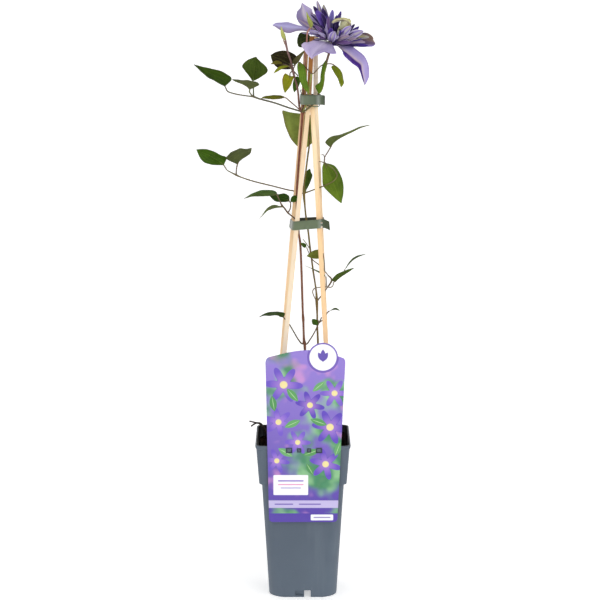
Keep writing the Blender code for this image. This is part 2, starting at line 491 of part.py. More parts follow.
def cylinder(name, centre, radius, depth, axis="Z", sides=12):
    """A cylinder round a point in millimetres, along one axis."""
    sheet = bmesh.new()
    bmesh.ops.create_cone(sheet, cap_ends=True, segments=sides, radius1=radius * MM, radius2=radius * MM,
                          depth=depth * MM)
    if axis == "Y":
        for vert in sheet.verts:
            vert.co = Vector((vert.co.x, vert.co.z, -vert.co.y))
    for vert in sheet.verts:
        vert.co += vec(centre)
    mesh = bpy.data.meshes.new(name)
    sheet.to_mesh(mesh)
    sheet.free()
    return tidy_object(add_mesh(name, mesh))


def pot_half(height):
    """Half the pot's outer width at a height."""
    if height < POT_COLLAR_HEIGHT:
        return POT_FOOT_HALF + (POT_WAIST_HALF - POT_FOOT_HALF) * height / POT_COLLAR_HEIGHT
    share = (height - POT_COLLAR_HEIGHT) / (POT_HEIGHT - POT_COLLAR_HEIGHT)
    return POT_COLLAR_HALF + (POT_RIM_HALF - POT_COLLAR_HALF) * share


def pot_corner(height):
    """The pot's outer corner radius at a height."""
    if height < POT_COLLAR_HEIGHT:
        return POT_FOOT_CORNER + (POT_WAIST_CORNER - POT_FOOT_CORNER) * height / POT_COLLAR_HEIGHT
    return POT_COLLAR_CORNER


def make_pot():
    """The square pot: tapered body, wider collar, lip, drain slots, centre rib and card lugs."""
    wall = POT_WALL
    step = POT_COLLAR_HEIGHT
    lip_low = POT_HEIGHT - POT_LIP_HEIGHT
    outside = [square_ring(pot_half(z), pot_corner(z), z) for z in (0, *POT_SECTIONS, step - 0.01)]
    outside.append(square_ring(POT_COLLAR_HALF, POT_COLLAR_CORNER, step))
    outside.append(square_ring(pot_half(lip_low - POT_LIP), POT_COLLAR_CORNER, lip_low - POT_LIP))
    outside.append(square_ring(pot_half(lip_low) + POT_LIP, POT_RIM_CORNER, lip_low))
    outside.append(square_ring(POT_RIM_HALF + POT_LIP, POT_RIM_CORNER, POT_HEIGHT - POT_LIP_EASE))
    outside.append(square_ring(POT_RIM_HALF + POT_LIP - POT_LIP_EASE, POT_RIM_CORNER, POT_HEIGHT))
    inside = [square_ring(pot_half(POT_HEIGHT) - wall, POT_COLLAR_CORNER - wall, POT_HEIGHT)]
    inside.append(square_ring(POT_COLLAR_HALF - wall, POT_COLLAR_CORNER - wall, step + wall))
    inside.append(square_ring(pot_half(step - 2) - wall, POT_WAIST_CORNER - wall, step + wall - 0.01))
    inside += [square_ring(pot_half(z) - wall, pot_corner(z) - wall, z)
               for z in (*reversed(POT_SECTIONS), POT_FLOOR + wall)]
    pot = skin("pot", outside + inside)
    under = skin("under", [square_ring(pot_half(z) - wall, pot_corner(z) - wall, z) for z in (-5, POT_FLOOR)])
    half = DRAIN_WIDTH / 2
    along = box("along", (-POT_RIM_HALF, -half, DRAIN_LOW), (POT_RIM_HALF, half, DRAIN_HIGH))
    across = box("across", (-half, -POT_RIM_HALF, DRAIN_LOW), (half, POT_RIM_HALF, DRAIN_HIGH))
    pot = combine(pot, [under, along, across], "DIFFERENCE")
    added = [box("rib", (RIB_LEFT, -RIB_HALF_LENGTH, 0), (RIB_RIGHT, RIB_HALF_LENGTH, POT_FLOOR + 0.4))]
    front = -pot_half(LUG_HEIGHT)
    for name, (x, wide, tall) in LUGS.items():
        added.append(box("lug_" + name, (x - wide / 2, front - LUG_OUT, LUG_HEIGHT - tall / 2),
                         (x + wide / 2, front + wall / 2, LUG_HEIGHT + tall / 2)))
    return combine(pot, added, "UNION")


def soil_height(x, y):
    """The height of the soil's lumpy top, with its heap to the back."""
    far = math.dist((x, y), SOIL_HEAP_AT)
    heap = SOIL_HEAP * math.exp(-(far / SOIL_HEAP_SPREAD) ** 2)
    return SOIL_TOP + heap + SOIL_LUMP * noise.noise(Vector((x * 0.16, y * 0.16, 3.7)))


def make_soil(stick_holes, stem_holes):
    """The soil block that fills the pot, with plain holes for the sticks and stems, and dead roots."""
    off = POT_WALL + GAP + SOIL_CLEARANCE
    step = POT_COLLAR_HEIGHT
    rings = [square_ring(pot_half(z) - off, pot_corner(z) - off, z) for z in (POT_FLOOR + off, 70, step - 2)]
    ledge = step + off + SOIL_STEP_CLEARANCE
    rings.append(square_ring(pot_half(step - 2) - off, POT_WAIST_CORNER - off, ledge))
    rings.append(square_ring(POT_COLLAR_HALF - off, POT_COLLAR_CORNER - off, ledge + GAP))
    edge_height = SOIL_TOP - 3.0
    rings.append(square_ring(pot_half(edge_height) - off, POT_COLLAR_CORNER - off, edge_height))
    for share in SOIL_SHARES:
        half = (pot_half(SOIL_TOP) - off) * share
        ring = square_ring(half, (POT_COLLAR_CORNER + 26 * (1 - share)) * share, 0)
        for p in ring:
            p.z = soil_height(p.x / MM, p.y / MM) * MM
        rings.append(ring)
    soil = skin("soil", rings)
    roots = [tube("root", smooth_run([(*p, DEAD_ROOT_RADIUS) for p in run], 7)) for run in DEAD_ROOTS]
    soil = combine(soil, roots, "UNION")
    return combine(soil, stick_holes + stem_holes, "DIFFERENCE")


def stick_rings(path, extra=0.0):
    """Square sections with eased edges along a stick's path."""
    rings = []
    for x, y, z in path:
        half = STICK / 2 + extra
        ease = half - STICK_EDGE
        ring = [(half, -ease), (half, ease), (ease, half), (-ease, half),
                (-half, ease), (-half, -ease), (-ease, -half), (ease, -half)]
        rings.append([vec((x + dx, y + dy, z)) for dx, dy in ring])
    return rings


def make_strap(name, strap):
    """A flat strap round the sticks, wider at its lower edge as they spread, with thickness."""
    low, high = strap["heights"]
    run = strap["run"]
    centre_x = sum(p[0] for p in run) / len(run)
    centre_y = sum(p[1] for p in run) / len(run)
    points, faces = [], []
    for height, spread in ((low, strap["spread"]), ((low + high) / 2, 0.0), (high, -strap["spread"])):
        for x, y in run:
            grow = spread / 18
            points.append(vec((x + (x - centre_x) * grow, y + (y - centre_y) * grow,
                               height + strap["rise"] * x)))
    count = len(run)
    for row in range(2):
        for k in range(count - 1):
            a = row * count + k
            faces.append((a, a + 1, a + 1 + count, a + count))
    mesh = bpy.data.meshes.new(name)
    mesh.from_pydata([tuple(p) for p in points], [], faces)
    obj = add_mesh(name, mesh)
    solid = obj.modifiers.new("thickness", "SOLIDIFY")
    solid.thickness = STRAP_THICKNESS * MM
    solid.offset = 1.0 if strap_faces_out(run) else -1.0
    solid.use_even_offset = True
    return as_mesh(obj)


def strap_faces_out(run):
    """Whether a strap's faces, as built, look away from the sticks."""
    area = sum(a[0] * b[1] - b[0] * a[1] for a, b in zip(run, run[1:]))
    return area > 0


def blade(name, base, tip, width, face, fold, arch, lobe, outline, rows, strips, start=LEAF_OFF_STALK):
    """A leaf or petal: a thin blade along an arched rib, folded and waved, from base to tip."""
    base, tip = Vector(base), Vector(tip)
    along = tip - base
    length = along.length
    along.normalize()
    base = base + along * start
    length -= start
    up = Vector(face)
    up = (up - up.dot(along) * along).normalized()
    side = along.cross(up)
    a, b = outline
    peak = a / (a + b)
    points = []
    for i in range(rows):
        t = (i / rows) ** BLADE_ROW_POWER
        tilt = math.radians(fold / 2) * min(1.0, i)
        half = width / 2 * (max(t, 1e-6) / peak) ** a * ((1 - t) / (1 - peak)) ** b
        half = max(half, BLADE_NECK / 2 * (1 - t))
        rib = base + along * (length * t) + up * (arch * math.sin(math.pi * t))
        for k in range(-strips, strips + 1):
            s = k / strips
            back = lobe * half * abs(s) * (1 - t) ** 3 * min(1.0, i)
            curl = math.sin(tilt) * abs(s) - 0.25 * math.sin(tilt) * s * s
            wave = BLADE_WAVE * width * math.sin(7.0 * t + 2.4 * s + length) * abs(s) * min(1.0, i)
            points.append(rib + side * (half * s * math.cos(tilt)) + up * (half * curl + wave) - along * back)
    points.append(base + along * length)
    count = 2 * strips + 1
    faces = []
    for i in range(rows - 1):
        for k in range(count - 1):
            p = i * count + k
            if k < strips:
                faces += [(p, p + 1, p + 1 + count), (p, p + 1 + count, p + count)]
            else:
                faces += [(p, p + 1, p + count), (p + 1, p + 1 + count, p + count)]
    last = (rows - 1) * count
    for k in range(count - 1):
        faces.append((last + k, last + k + 1, len(points) - 1))
    mesh = bpy.data.meshes.new(name)
    mesh.from_pydata([tuple(p * MM) for p in points], [], faces)
    obj = add_mesh(name, mesh)
    solid = obj.modifiers.new("thickness", "SOLIDIFY")
    solid.thickness = BLADE * MM
    solid.offset = 0.0
    return as_mesh(obj)


def make_stem(name, runs):
    """A stem with its forks, stalks and tendrils, joined as one body."""
    tubes = [tube(name, smooth_run(runs["main"], STEM_STEP), STEM_SIDES)]
    for part, run in runs.items():
        if part != "main":
            sides = STEM_SIDES if max(point[3] for point in run) > STALK_RADIUS else STALK_SIDES
            tubes.append(tube(name + "_" + part, smooth_run(run, STEM_STEP), sides))
    return combine(tubes[0], tubes[1:], "UNION")


def make_card():
    """The printed card: a tapered sheet with an arched top, a round lobe and four slots for the lugs."""
    low_left, low_right = CARD_BOTTOM_EDGES
    top_left, top_right = CARD_TOP_EDGES
    outline = []
    for k in range(5):
        angle = -math.pi / 2 - k * math.pi / 8
        outline.append((low_left + CARD_CORNER * (1 + math.cos(angle)),
                        CARD_BOTTOM + CARD_CORNER * (1 + math.sin(angle))))
    outline += [(top_left, CARD_SHOULDER), (top_left + 0.7, CARD_SHOULDER + 3.6)]
    start = (top_left + 3.0, CARD_SHOULDER + CARD_SHOULDER_RISE)
    end = (DISC_AT[0] - DISC_RADIUS * math.cos(math.radians(30)), DISC_AT[1] + DISC_RADIUS / 2)
    for k in range(6):
        t = k / 6
        outline.append((start[0] + (end[0] - start[0]) * t,
                        start[1] + (end[1] - start[1]) * math.sin(t * math.pi / 2)))
    for k in range(11):
        angle = math.radians(150 - 14.5 * k)
        outline.append((DISC_AT[0] + DISC_RADIUS * math.cos(angle),
                        DISC_AT[1] + DISC_RADIUS * math.sin(angle)))
    outline += [(top_right - 4.2, CARD_SHOULDER + CARD_SHOULDER_RISE), (top_right - 1.0, CARD_SHOULDER + 4.0),
                (top_right, CARD_SHOULDER)]
    for k in range(5):
        angle = -k * math.pi / 8
        outline.append((low_right - CARD_CORNER * (1 - math.cos(angle)),
                        CARD_BOTTOM + CARD_CORNER * (1 + math.sin(angle))))
    curve = bpy.data.curves.new("label_card", "CURVE")
    curve.dimensions = "2D"
    curve.fill_mode = "BOTH"
    curve.extrude = CARD_THICKNESS / 2 * MM
    loops = [outline]
    for x, wide, tall in LUGS.values():
        half, high = wide / 2 + SLOT_CLEARANCE, tall / 2 + SLOT_CLEARANCE
        loops.append([(x - half, LUG_HEIGHT - high), (x + half, LUG_HEIGHT - high),
                      (x + half, LUG_HEIGHT + high), (x - half, LUG_HEIGHT + high)])
    for loop in loops:
        spline = curve.splines.new("POLY")
        spline.points.add(len(loop) - 1)
        spline.use_cyclic_u = True
        for knot, (x, z) in zip(spline.points, loop):
            knot.co = (x * MM, (z - LUG_HEIGHT) * MM, 0, 1)
    obj = bpy.data.objects.new("label_card", curve)
    part_collection("potted_clematis").objects.link(obj)
    middle = CARD_FRONT_AT_RIM + CARD_THICKNESS / 2
    obj.location = vec((0, middle + 0.2, LUG_HEIGHT))
    obj.rotation_euler = (math.pi / 2 + CARD_LEAN, 0, 0)
    bpy.context.view_layer.update()
    return as_mesh(obj)


def make_bloom():
    """The double bloom: wide sepals, then rings of narrow pointed petals on a core."""
    centre = Vector(BLOOM_AT)
    draw = random.Random(PETAL_SEED)
    body = tube("bloom", RECEPTACLE, 8)
    blades = []
    for i, sepal in enumerate(SEPALS):
        blades.append(blade(f"sepal_{i}", *sepal, SEPAL_ROWS, 2, 0.0))
    for ring, (count, rise, width, lean) in enumerate(PETAL_RINGS):
        axis = Vector((lean, 0, 1)).normalized()
        across = axis.cross(Vector((0, 1, 0))).normalized()
        other = axis.cross(across)
        for k in range(count):
            angle = 2 * math.pi * (k + 0.5 * (ring % 2) + draw.uniform(-0.15, 0.15)) / count
            lift = math.radians(rise + draw.uniform(-6, 6))
            out = across * math.cos(angle) + other * math.sin(angle)
            way = out * math.cos(lift) + axis * math.sin(lift)
            high = max(0.0, 0.6 * way.x + 0.8 * way.z)
            long = (PETAL_REACH - PETAL_HIGH_CUT * high) * draw.uniform(0.86, 1.04)
            facing = math.atan2(out.y, out.x) % (2 * math.pi)
            if abs(facing - PETAL_BUD_SIDE) < PETAL_BUD_SPREAD:
                long = min(long, PETAL_BUD_REACH)
            face = axis * math.cos(lift) - out * math.sin(lift)
            face.rotate(Quaternion(way, math.radians(draw.uniform(-PETAL_ROLL, PETAL_ROLL))))
            root = centre + way * PETAL_ROOT + axis * (PETAL_RING_RISE * ring)
            blades.append(blade(f"petal_{ring}_{k}", root, root + way * long, width, face,
                                draw.uniform(20, 50), -draw.uniform(1.5, 4.0), 0.0, LANCE,
                                PETAL_ROWS, 1, 0.0))
    sheet = bmesh.new()
    bmesh.ops.create_icosphere(sheet, subdivisions=2, radius=BLOOM_CORE * MM)
    for vert in sheet.verts:
        vert.co += (centre + Vector((0, 0, BLOOM_CORE_RISE))) * MM
    mesh = bpy.data.meshes.new("core")
    sheet.to_mesh(mesh)
    sheet.free()
    blades.append(add_mesh("core", mesh))
    return combine(body, blades, "UNION")


def build():
    """Build every piece and give it its material."""
    for obj in list(bpy.data.objects):
        bpy.data.objects.remove(obj)
    looks = {
        "pot": material("pot_plastic", (0.105, 0.14, 0.165), 0.45),
        "soil": material("soil", (0.035, 0.02, 0.012), 0.95),
        "stick": material("pine", (0.86, 0.66, 0.42), 0.65),
        "strap": material("strap_plastic", (0.15, 0.21, 0.15), 0.5),
        "tie": material("tie_wire", (0.05, 0.25, 0.13), 0.4),
        "card": material("card", (0.32, 0.22, 0.62), 0.4),
        "stem_a": material("stem_brown", (0.2, 0.1, 0.06), 0.6),
        "stem_b": material("stem_olive", (0.16, 0.14, 0.04), 0.6),
        "leaf": material("leaf", (0.07, 0.17, 0.03), 0.55),
        "bud": material("bud", (0.35, 0.42, 0.1), 0.55),
        "bloom": material("bloom", (0.33, 0.24, 0.62), 0.55),
    }
    made = {}
    made["pot"] = (make_pot(), "pot")
    stick_holes = []
    for name, path in STICKS.items():
        made[name] = (skin(name, stick_rings(path)), "stick")
        foot = path[0]
        hole = [(foot[0], foot[1], foot[2] - GAP)] + path[1:3]
        stick_holes.append(skin("hole_" + name, stick_rings(hole, STICK_CLEARANCE)))
    stem_holes = []
    for name, runs in (("stem_a", STEM_A), ("stem_b", STEM_B)):
        x, y, z, radius = runs["main"][0]
        middle = (x + 0.1, y - 0.1, z + STEM_HOLE_DEPTH / 2 - GAP)
        stem_holes.append(cylinder("hole_" + name, middle, radius + STEM_CLEARANCE,
                                   STEM_HOLE_DEPTH, sides=10))
    made["soil"] = (make_soil(stick_holes, stem_holes), "soil")
    lower = make_strap("strap_lower", STRAP_LOWER)
    pins = [cylinder(f"pin_{i}", (x, -STRAP_HOLE_DEPTH, z), STRAP_HOLE_RADIUS, STRAP_HOLE_DEPTH, "Y")
            for i, (x, z) in enumerate(STRAP_HOLES)]
    made["strap_lower"] = (combine(lower, pins, "DIFFERENCE"), "strap")
    made["strap_upper"] = (make_strap("strap_upper", STRAP_UPPER), "strap")
    tie = smooth_run([(*p, TIE_RADIUS) for p in TIE_RUN], TIE_STEP, True)
    made["tie_wire"] = (tube("tie_wire", tie, closed=True), "tie")
    made["label_card"] = (make_card(), "card")
    made["stem_a"] = (make_stem("stem_a", STEM_A), "stem_a")
    made["stem_b"] = (make_stem("stem_b", STEM_B), "stem_b")
    for name, run in BUDS.items():
        made[name] = (tube(name, smooth_run(run, 2.5), 8), "bud")
    for name, leaf in LEAVES.items():
        made[name] = (blade(name, *leaf, LEAF_ROWS, LEAF_STRIPS), "leaf")
    made["bloom"] = (make_bloom(), "bloom")
    for name, (obj, look) in made.items():
        obj.name = name
        obj.data.materials.clear()
        obj.data.materials.append(looks[look])
        obj.data.shade_smooth()
        obj.data.set_sharp_from_angle(angle=math.radians(35))
    bpy.data.collections.remove(part_collection("tools"))


build()
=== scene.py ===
# %% [markdown]
# # A potted clematis on a stick trellis
# A young clematis climbs four pine sticks that stand in a square nursery pot. This lesson builds its
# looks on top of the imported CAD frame, which already holds every piece at its real place and size.
# First comes the frame itself, and the box that the looks have to stay inside.

import json
import math
import random

import bmesh
import bpy
import numpy as np
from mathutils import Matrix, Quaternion, Vector, noise

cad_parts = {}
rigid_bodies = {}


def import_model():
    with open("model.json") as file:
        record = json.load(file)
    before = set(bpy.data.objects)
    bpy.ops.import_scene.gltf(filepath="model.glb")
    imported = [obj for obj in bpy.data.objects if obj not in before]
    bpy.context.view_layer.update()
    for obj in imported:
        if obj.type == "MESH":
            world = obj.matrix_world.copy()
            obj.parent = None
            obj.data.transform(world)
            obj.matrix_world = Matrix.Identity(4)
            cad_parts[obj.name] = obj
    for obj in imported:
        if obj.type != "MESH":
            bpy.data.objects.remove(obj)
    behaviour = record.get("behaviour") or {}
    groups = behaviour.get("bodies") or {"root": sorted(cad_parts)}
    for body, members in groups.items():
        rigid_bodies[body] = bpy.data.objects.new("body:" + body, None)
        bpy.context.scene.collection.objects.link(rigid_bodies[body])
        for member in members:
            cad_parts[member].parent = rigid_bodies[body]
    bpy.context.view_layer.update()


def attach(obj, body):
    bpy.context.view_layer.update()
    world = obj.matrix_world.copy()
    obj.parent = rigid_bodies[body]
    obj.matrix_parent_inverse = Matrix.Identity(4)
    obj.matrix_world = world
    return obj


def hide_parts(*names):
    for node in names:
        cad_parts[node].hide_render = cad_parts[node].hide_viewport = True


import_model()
MM = 0.001

# %% [markdown]
# ## Helpers for shapes
# Every piece here is made from points in millimetres, because that is how a plant is measured with a
# ruler. One helper turns points and faces into an object at the origin, gives it its material and says
# which CAD node it stands for.

# %% Points and faces become a piece
PIECES = []


def mesh_of(name, points, faces):
    """A mesh from points in millimetres."""
    mesh = bpy.data.meshes.new(name)
    mesh.from_pydata((np.asarray(points, dtype=float) * MM).tolist(), [], faces)
    return mesh


def paint(mesh, label, kind, values):
    """Give every point of a mesh a number, a vector or a colour."""
    slot = {"FLOAT": "value", "FLOAT_VECTOR": "vector", "FLOAT_COLOR": "color"}[kind]
    mesh.attributes.new(label, kind, "POINT").data.foreach_set(slot, np.ravel(values))


def adopt(name, mesh, look, nodes=()):
    """Put a finished mesh in the scene with its material, and let it stand for its CAD nodes."""
    obj = bpy.data.objects.new(name, mesh)
    bpy.context.scene.collection.objects.link(obj)
    if look is not None:
        mesh.materials.clear()
        mesh.materials.append(look)
    mesh.shade_smooth()
    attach(obj, "root")
    if nodes:
        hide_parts(*nodes)
    PIECES.append(obj)
    return obj


def face_out(mesh):
    """Merge doubled points and turn every face outwards."""
    sheet = bmesh.new()
    sheet.from_mesh(mesh)
    bmesh.ops.remove_doubles(sheet, verts=sheet.verts, dist=0.000002)
    bmesh.ops.recalc_face_normals(sheet, faces=sheet.faces)
    sheet.to_mesh(mesh)
    sheet.free()
    return mesh


def bake(obj):
    """The object's evaluated shape as a plain mesh, with the working object removed."""
    depsgraph = bpy.context.evaluated_depsgraph_get()
    mesh = bpy.data.meshes.new_from_object(obj.evaluated_get(depsgraph))
    bpy.data.objects.remove(obj)
    return mesh


def triangles(mesh):
    """How many triangles a mesh has."""
    return sum(len(p.vertices) - 2 for p in mesh.polygons)


# %% A curve through measured points
def between(a, b, c, d, t):
    """A point between b and c on the smooth curve through a, b, c and d."""
    return 0.5 * (2 * b + (c - a) * t + (2 * a - 5 * b + 4 * c - d) * t * t
                  + (3 * b - a - 3 * c + d) * t ** 3)


def smooth_run(points, step, closed=False):
    """Points along a Catmull-Rom curve, with every further value, such as a radius, blended too."""
    run = []
    count = len(points)
    for i in range(count if closed else count - 1):
        if closed:
            quad = [points[(i + k) % count] for k in (-1, 0, 1, 2)]
        else:
            quad = [points[max(0, min(count - 1, i + k))] for k in (-1, 0, 1, 2)]
        a, b, c, d = (np.array(q, dtype=float) for q in quad)
        pieces = max(1, round(math.dist(b[:3], c[:3]) / step))
        run += [between(a, b, c, d, k / pieces) for k in range(pieces)]
    if not closed:
        run.append(np.array(points[-1], dtype=float))
    return run


# %% Faces between rings of points, and round a thin slab
def tube_faces(rows, count, start=0):
    """Faces between closed rings of points."""
    return [(a + k, a + (k + 1) % count, a + count + (k + 1) % count, a + count + k)
            for a in range(start, start + (rows - 1) * count, count) for k in range(count)]


def slab_faces(rows, cols, start=0):
    """Faces of a thin slab whose two sides are grids of points, one after the other."""
    number = rows * cols
    index = start + np.arange(number).reshape(rows, cols)
    quads = np.stack([index[:-1, :-1], index[:-1, 1:], index[1:, 1:], index[1:, :-1]], axis=2).reshape(-1, 4)
    ring = [*index[:, 0], *index[-1, 1:], *index[-2::-1, -1], *index[0, -2:0:-1]]
    edge = [(b, a, a + number, b + number) for a, b in zip(ring, ring[1:] + ring[:1])]
    return np.concatenate([quads, quads[:, ::-1] + number, edge]).tolist()


# %% [markdown]
# ## Helpers for materials
# All the finishes are procedural. A small class keeps the node trees short: it adds a node, links it and
# hands back the socket, so a finish reads from top to bottom like a recipe. Numbers that are the same all
# over a surface are set straight on the shader.

# %% Colours as they look on screen
def srgb(red, green, blue):
    """A colour given as it looks on screen, 0 to 255, in the linear values that Blender uses."""
    values = [v / 255 for v in (red, green, blue)]
    return tuple(v / 12.92 if v < 0.04045 else ((v + 0.055) / 1.055) ** 2.4 for v in values)


def blend_tones(values, stops, paints):
    """Colours for values, blended between the paints that stand at the stops."""
    paints = np.array([srgb(*p) for p in paints])
    channels = [np.interp(values, stops, paints[:, k]) for k in range(3)]
    return np.stack([*channels, np.ones_like(channels[0])], axis=-1).reshape(-1, 4)


# %% A short way to write a material
class Look:
    """A material under construction."""

    def __init__(self, name, **constants):
        self.mat = bpy.data.materials.new(name)
        self.mat.use_nodes = True
        self.tree = self.mat.node_tree
        self.shader = self.tree.nodes["Principled BSDF"]
        for socket, value in constants.items():
            self.shader.inputs[socket.replace("_", " ")].default_value = value

    def put(self, socket, value):
        """Link a socket, or set it when the value is a plain number or colour."""
        if isinstance(value, bpy.types.NodeSocket):
            self.tree.links.new(value, socket)
        elif socket.type == "RGBA":
            socket.default_value = (*value[:3], 1.0)
        else:
            socket.default_value = value

    def add(self, kind, inputs=None, **settings):
        """A node with its settings and inputs."""
        node = self.tree.nodes.new("ShaderNode" + kind)
        for key, value in settings.items():
            setattr(node, key, value)
        for key, value in (inputs or {}).items():
            self.put(node.inputs[key], value)
        return node

    def math(self, operation, a, b=0.0, c=None):
        """One sum on up to three values."""
        node = self.add("Math", operation=operation)
        self.put(node.inputs[0], a)
        self.put(node.inputs[1], b)
        if c is not None:
            self.put(node.inputs[2], c)
        return node.outputs[0]

    # The sums that come up most.
    def times(self, a, b):
        return self.math("MULTIPLY", a, b)

    def plus(self, a, b):
        return self.math("ADD", a, b)

    def less(self, a, b):
        return self.math("SUBTRACT", a, b)

    def size(self, a):
        return self.math("ABSOLUTE", a)

    def part(self, value, low, high, most):
        """A smooth step that rises to a given strength."""
        return self.times(self.step(value, low, high), most)

    def mix(self, share, a, b):
        """Blend two colours."""
        node = self.add("Mix", data_type="RGBA", blend_type="MIX")
        self.put(node.inputs["Factor"], share)
        self.put(node.inputs[6], a)
        self.put(node.inputs[7], b)
        return node.outputs[2]

    def step(self, value, low, high, clean=True):
        """0 below low, 1 above high, and smooth between."""
        node = self.add("MapRange", interpolation_type="SMOOTHSTEP" if clean else "LINEAR")
        for key, number in (("Value", value), ("From Min", low), ("From Max", high)):
            self.put(node.inputs[key], number)
        return node.outputs[0]

    def place(self, scale=(1, 1, 1), turn=(0, 0, 0), shift=(0, 0, 0), source=None):
        """Object coordinates, or another vector, stretched and turned."""
        if source is None:
            source = self.add("TexCoord").outputs["Object"]
        node = self.add("Mapping", {"Vector": source, "Scale": scale, "Rotation": turn, "Location": shift})
        return node.outputs[0]

    def noise(self, vector, scale, detail=3.0, rough=0.55, out="Fac"):
        """Noise, from 0 to 1."""
        node = self.add("TexNoise", {"Vector": vector, "Scale": scale, "Detail": detail, "Roughness": rough})
        return node.outputs[out]

    def cells(self, vector, scale, feature="F1", out="Distance"):
        """Voronoi cells."""
        return self.add("TexVoronoi", {"Vector": vector, "Scale": scale}, feature=feature).outputs[out]

    def attribute(self, name, out="Color"):
        """A value that the mesh carries."""
        return self.add("Attribute", attribute_name=name).outputs[out]

    def done(self):
        """The finished material."""
        print(self.mat.name, "in", len(self.tree.nodes), "nodes")
        return self.mat

    def colour(self, value):
        self.put(self.shader.inputs["Base Color"], value)

    def rough(self, value):
        self.put(self.shader.inputs["Roughness"], value)

    def bump(self, height, distance, strength=1.0):
        """Raise the surface by the height, in metres."""
        node = self.add("Bump", {"Height": height, "Distance": distance, "Strength": strength})
        self.put(self.shader.inputs["Normal"], node.outputs[0])


# %% [markdown]
# ## The pot
# Nursery pots are blown or moulded from recycled polypropylene. The wall is about a millimetre thick, the
# body tapers so that pots stack, the collar stands wider, and a lip stiffens the top. The plastic is
# blue-grey and satin, with a faint orange-peel texture. The square sections are lofted, and the fine
# edges are rounded so that they catch the light.

# %% The pot's plastic
def pot_plastic():
    look = Look("pot plastic", Roughness=0.5, Specular_IOR_Level=0.3)
    where = look.place()
    cloud = look.noise(where, 9.0, 3.0)
    fine = look.noise(where, 900.0, 2.0)
    streak = look.noise(look.place(scale=(1, 1, 0.08)), 60.0, 4.0)
    base = look.mix(look.step(cloud, 0.35, 0.7), srgb(83, 94, 107), srgb(90, 102, 115))
    base = look.mix(look.part(streak, 0.52, 0.75, 0.22), base, srgb(113, 124, 135))
    dust = look.part(look.noise(where, 300.0, 5.0, 0.7), 0.62, 0.75, 0.35)
    base = look.mix(dust, base, srgb(120, 126, 128))
    # Painted shade: the inner face of the upper wall is painted near black where the inside of the pot lies
    # in shade, in patches that also stand for peat soiling.
    shade_and_peat_tone = look.mix(look.noise(where, 500.0, 4.0), srgb(2, 1, 1), srgb(14, 10, 7))
    shade_and_peat = look.times(look.attribute("inside", "Fac"), look.step(look.noise(where, 120.0, 4.0), 0.25, 0.4))
    look.colour(look.mix(shade_and_peat, base, shade_and_peat_tone))
    look.rough(look.math("MULTIPLY_ADD", look.noise(where, 35.0, 4.0), 0.16, 0.42))
    look.bump(look.plus(fine, look.times(streak, 0.6)), 0.00006, 0.5)
    return look.done()


POT_LOOK = pot_plastic()

# %% Measures of the pot
POT_HEIGHT = 185.2
POT_WALL = 1.2
POT_FOOT_HALF = 39.5
POT_FOOT_CORNER = 17.0
POT_WAIST_HALF = 47.6
POT_WAIST_CORNER = 9.0
POT_COLLAR_HEIGHT = 138.0
POT_COLLAR_HALF = 50.7
POT_COLLAR_CORNER = 8.0
POT_RIM_HALF = 54.2
POT_LIP = 0.8
POT_LIP_HEIGHT = 3.6
POT_RIM_CORNER = 7.0
POT_FLOOR = 9.0
DRAIN_WIDTH = 18.0
DRAIN_LOW = 2.3
DRAIN_HIGH = 8.4
RIB_LEFT = -10.5
RIB_RIGHT = 1.5
RIB_HALF_LENGTH = 37.4
FOOT_RECESS = 2.0
LUG_HEIGHT = 180.4
LUG_OUT = 2.4
LUGS = {"outer_left": (-16.0, 5.0, 4.2), "inner_left": (-4.4, 2.6, 2.8),
        "inner_right": (7.0, 2.6, 2.8), "outer_right": (18.4, 5.0, 4.2)}
POT_CORNER_STEPS = 20
POT_CREASE_TOP = 110.0
POT_CREASE = math.radians(12)
POT_EDGE_STEPS = 6
POT_SHARP = math.radians(6.5)
LUG_EASE = 0.35
print("pot", 2 * (POT_RIM_HALF + POT_LIP), "mm wide and", POT_HEIGHT, "mm tall")


# %% Sections of the pot
def pot_half(height):
    """Half the pot's outer width at a height."""
    if height < POT_COLLAR_HEIGHT:
        return POT_FOOT_HALF + (POT_WAIST_HALF - POT_FOOT_HALF) * height / POT_COLLAR_HEIGHT
    share = (height - POT_COLLAR_HEIGHT) / (POT_HEIGHT - POT_COLLAR_HEIGHT)
    return POT_COLLAR_HALF + (POT_RIM_HALF - POT_COLLAR_HALF) * share


def pot_corner(height):
    """The pot's outer corner radius at a height."""
    if height < POT_COLLAR_HEIGHT:
        return POT_FOOT_CORNER + (POT_WAIST_CORNER - POT_FOOT_CORNER) * height / POT_COLLAR_HEIGHT
    return POT_COLLAR_CORNER


def pot_crease(height):
    """How sharply a flat side meets its corner at a height."""
    return POT_CREASE * min(1.0, max(0.0, 1 - height / POT_CREASE_TOP))


def square_ring(half, corner, height, crease=0.0, arc=POT_CORNER_STEPS, edge=POT_EDGE_STEPS):
    """A square section with round corners, which may meet the sides at a slight crease."""
    radius = corner / (math.cos(crease) - math.sin(crease))
    middle = half - radius * math.cos(crease)
    ring = []
    for quarter in range(4):
        turn = quarter * math.pi / 2
        local = []
        for k in range(arc + 1):
            angle = crease + (math.pi / 2 - 2 * crease) * k / arc
            local.append((middle + radius * math.cos(angle), middle + radius * math.sin(angle)))
        local += [((half - corner) * (1 - 2 * k / edge), half) for k in range(1, edge)]
        ring += [(x * math.cos(turn) - y * math.sin(turn), x * math.sin(turn) + y * math.cos(turn), height)
                 for x, y in local]
    return ring


def body_ring(height, inset=0.0):
    """The tapered body's section at a height, or one further in."""
    return square_ring(pot_half(height) - inset, pot_corner(height) - inset, height, pot_crease(height))


def skin(rings):
    """Points and faces of a closed solid through rings."""
    count = len(rings[0])
    points = [p for ring in rings for p in ring]
    faces = tube_faces(len(rings), count)
    faces += [tuple(reversed(range(count))), tuple(range(len(points) - count, len(points)))]
    return points, faces


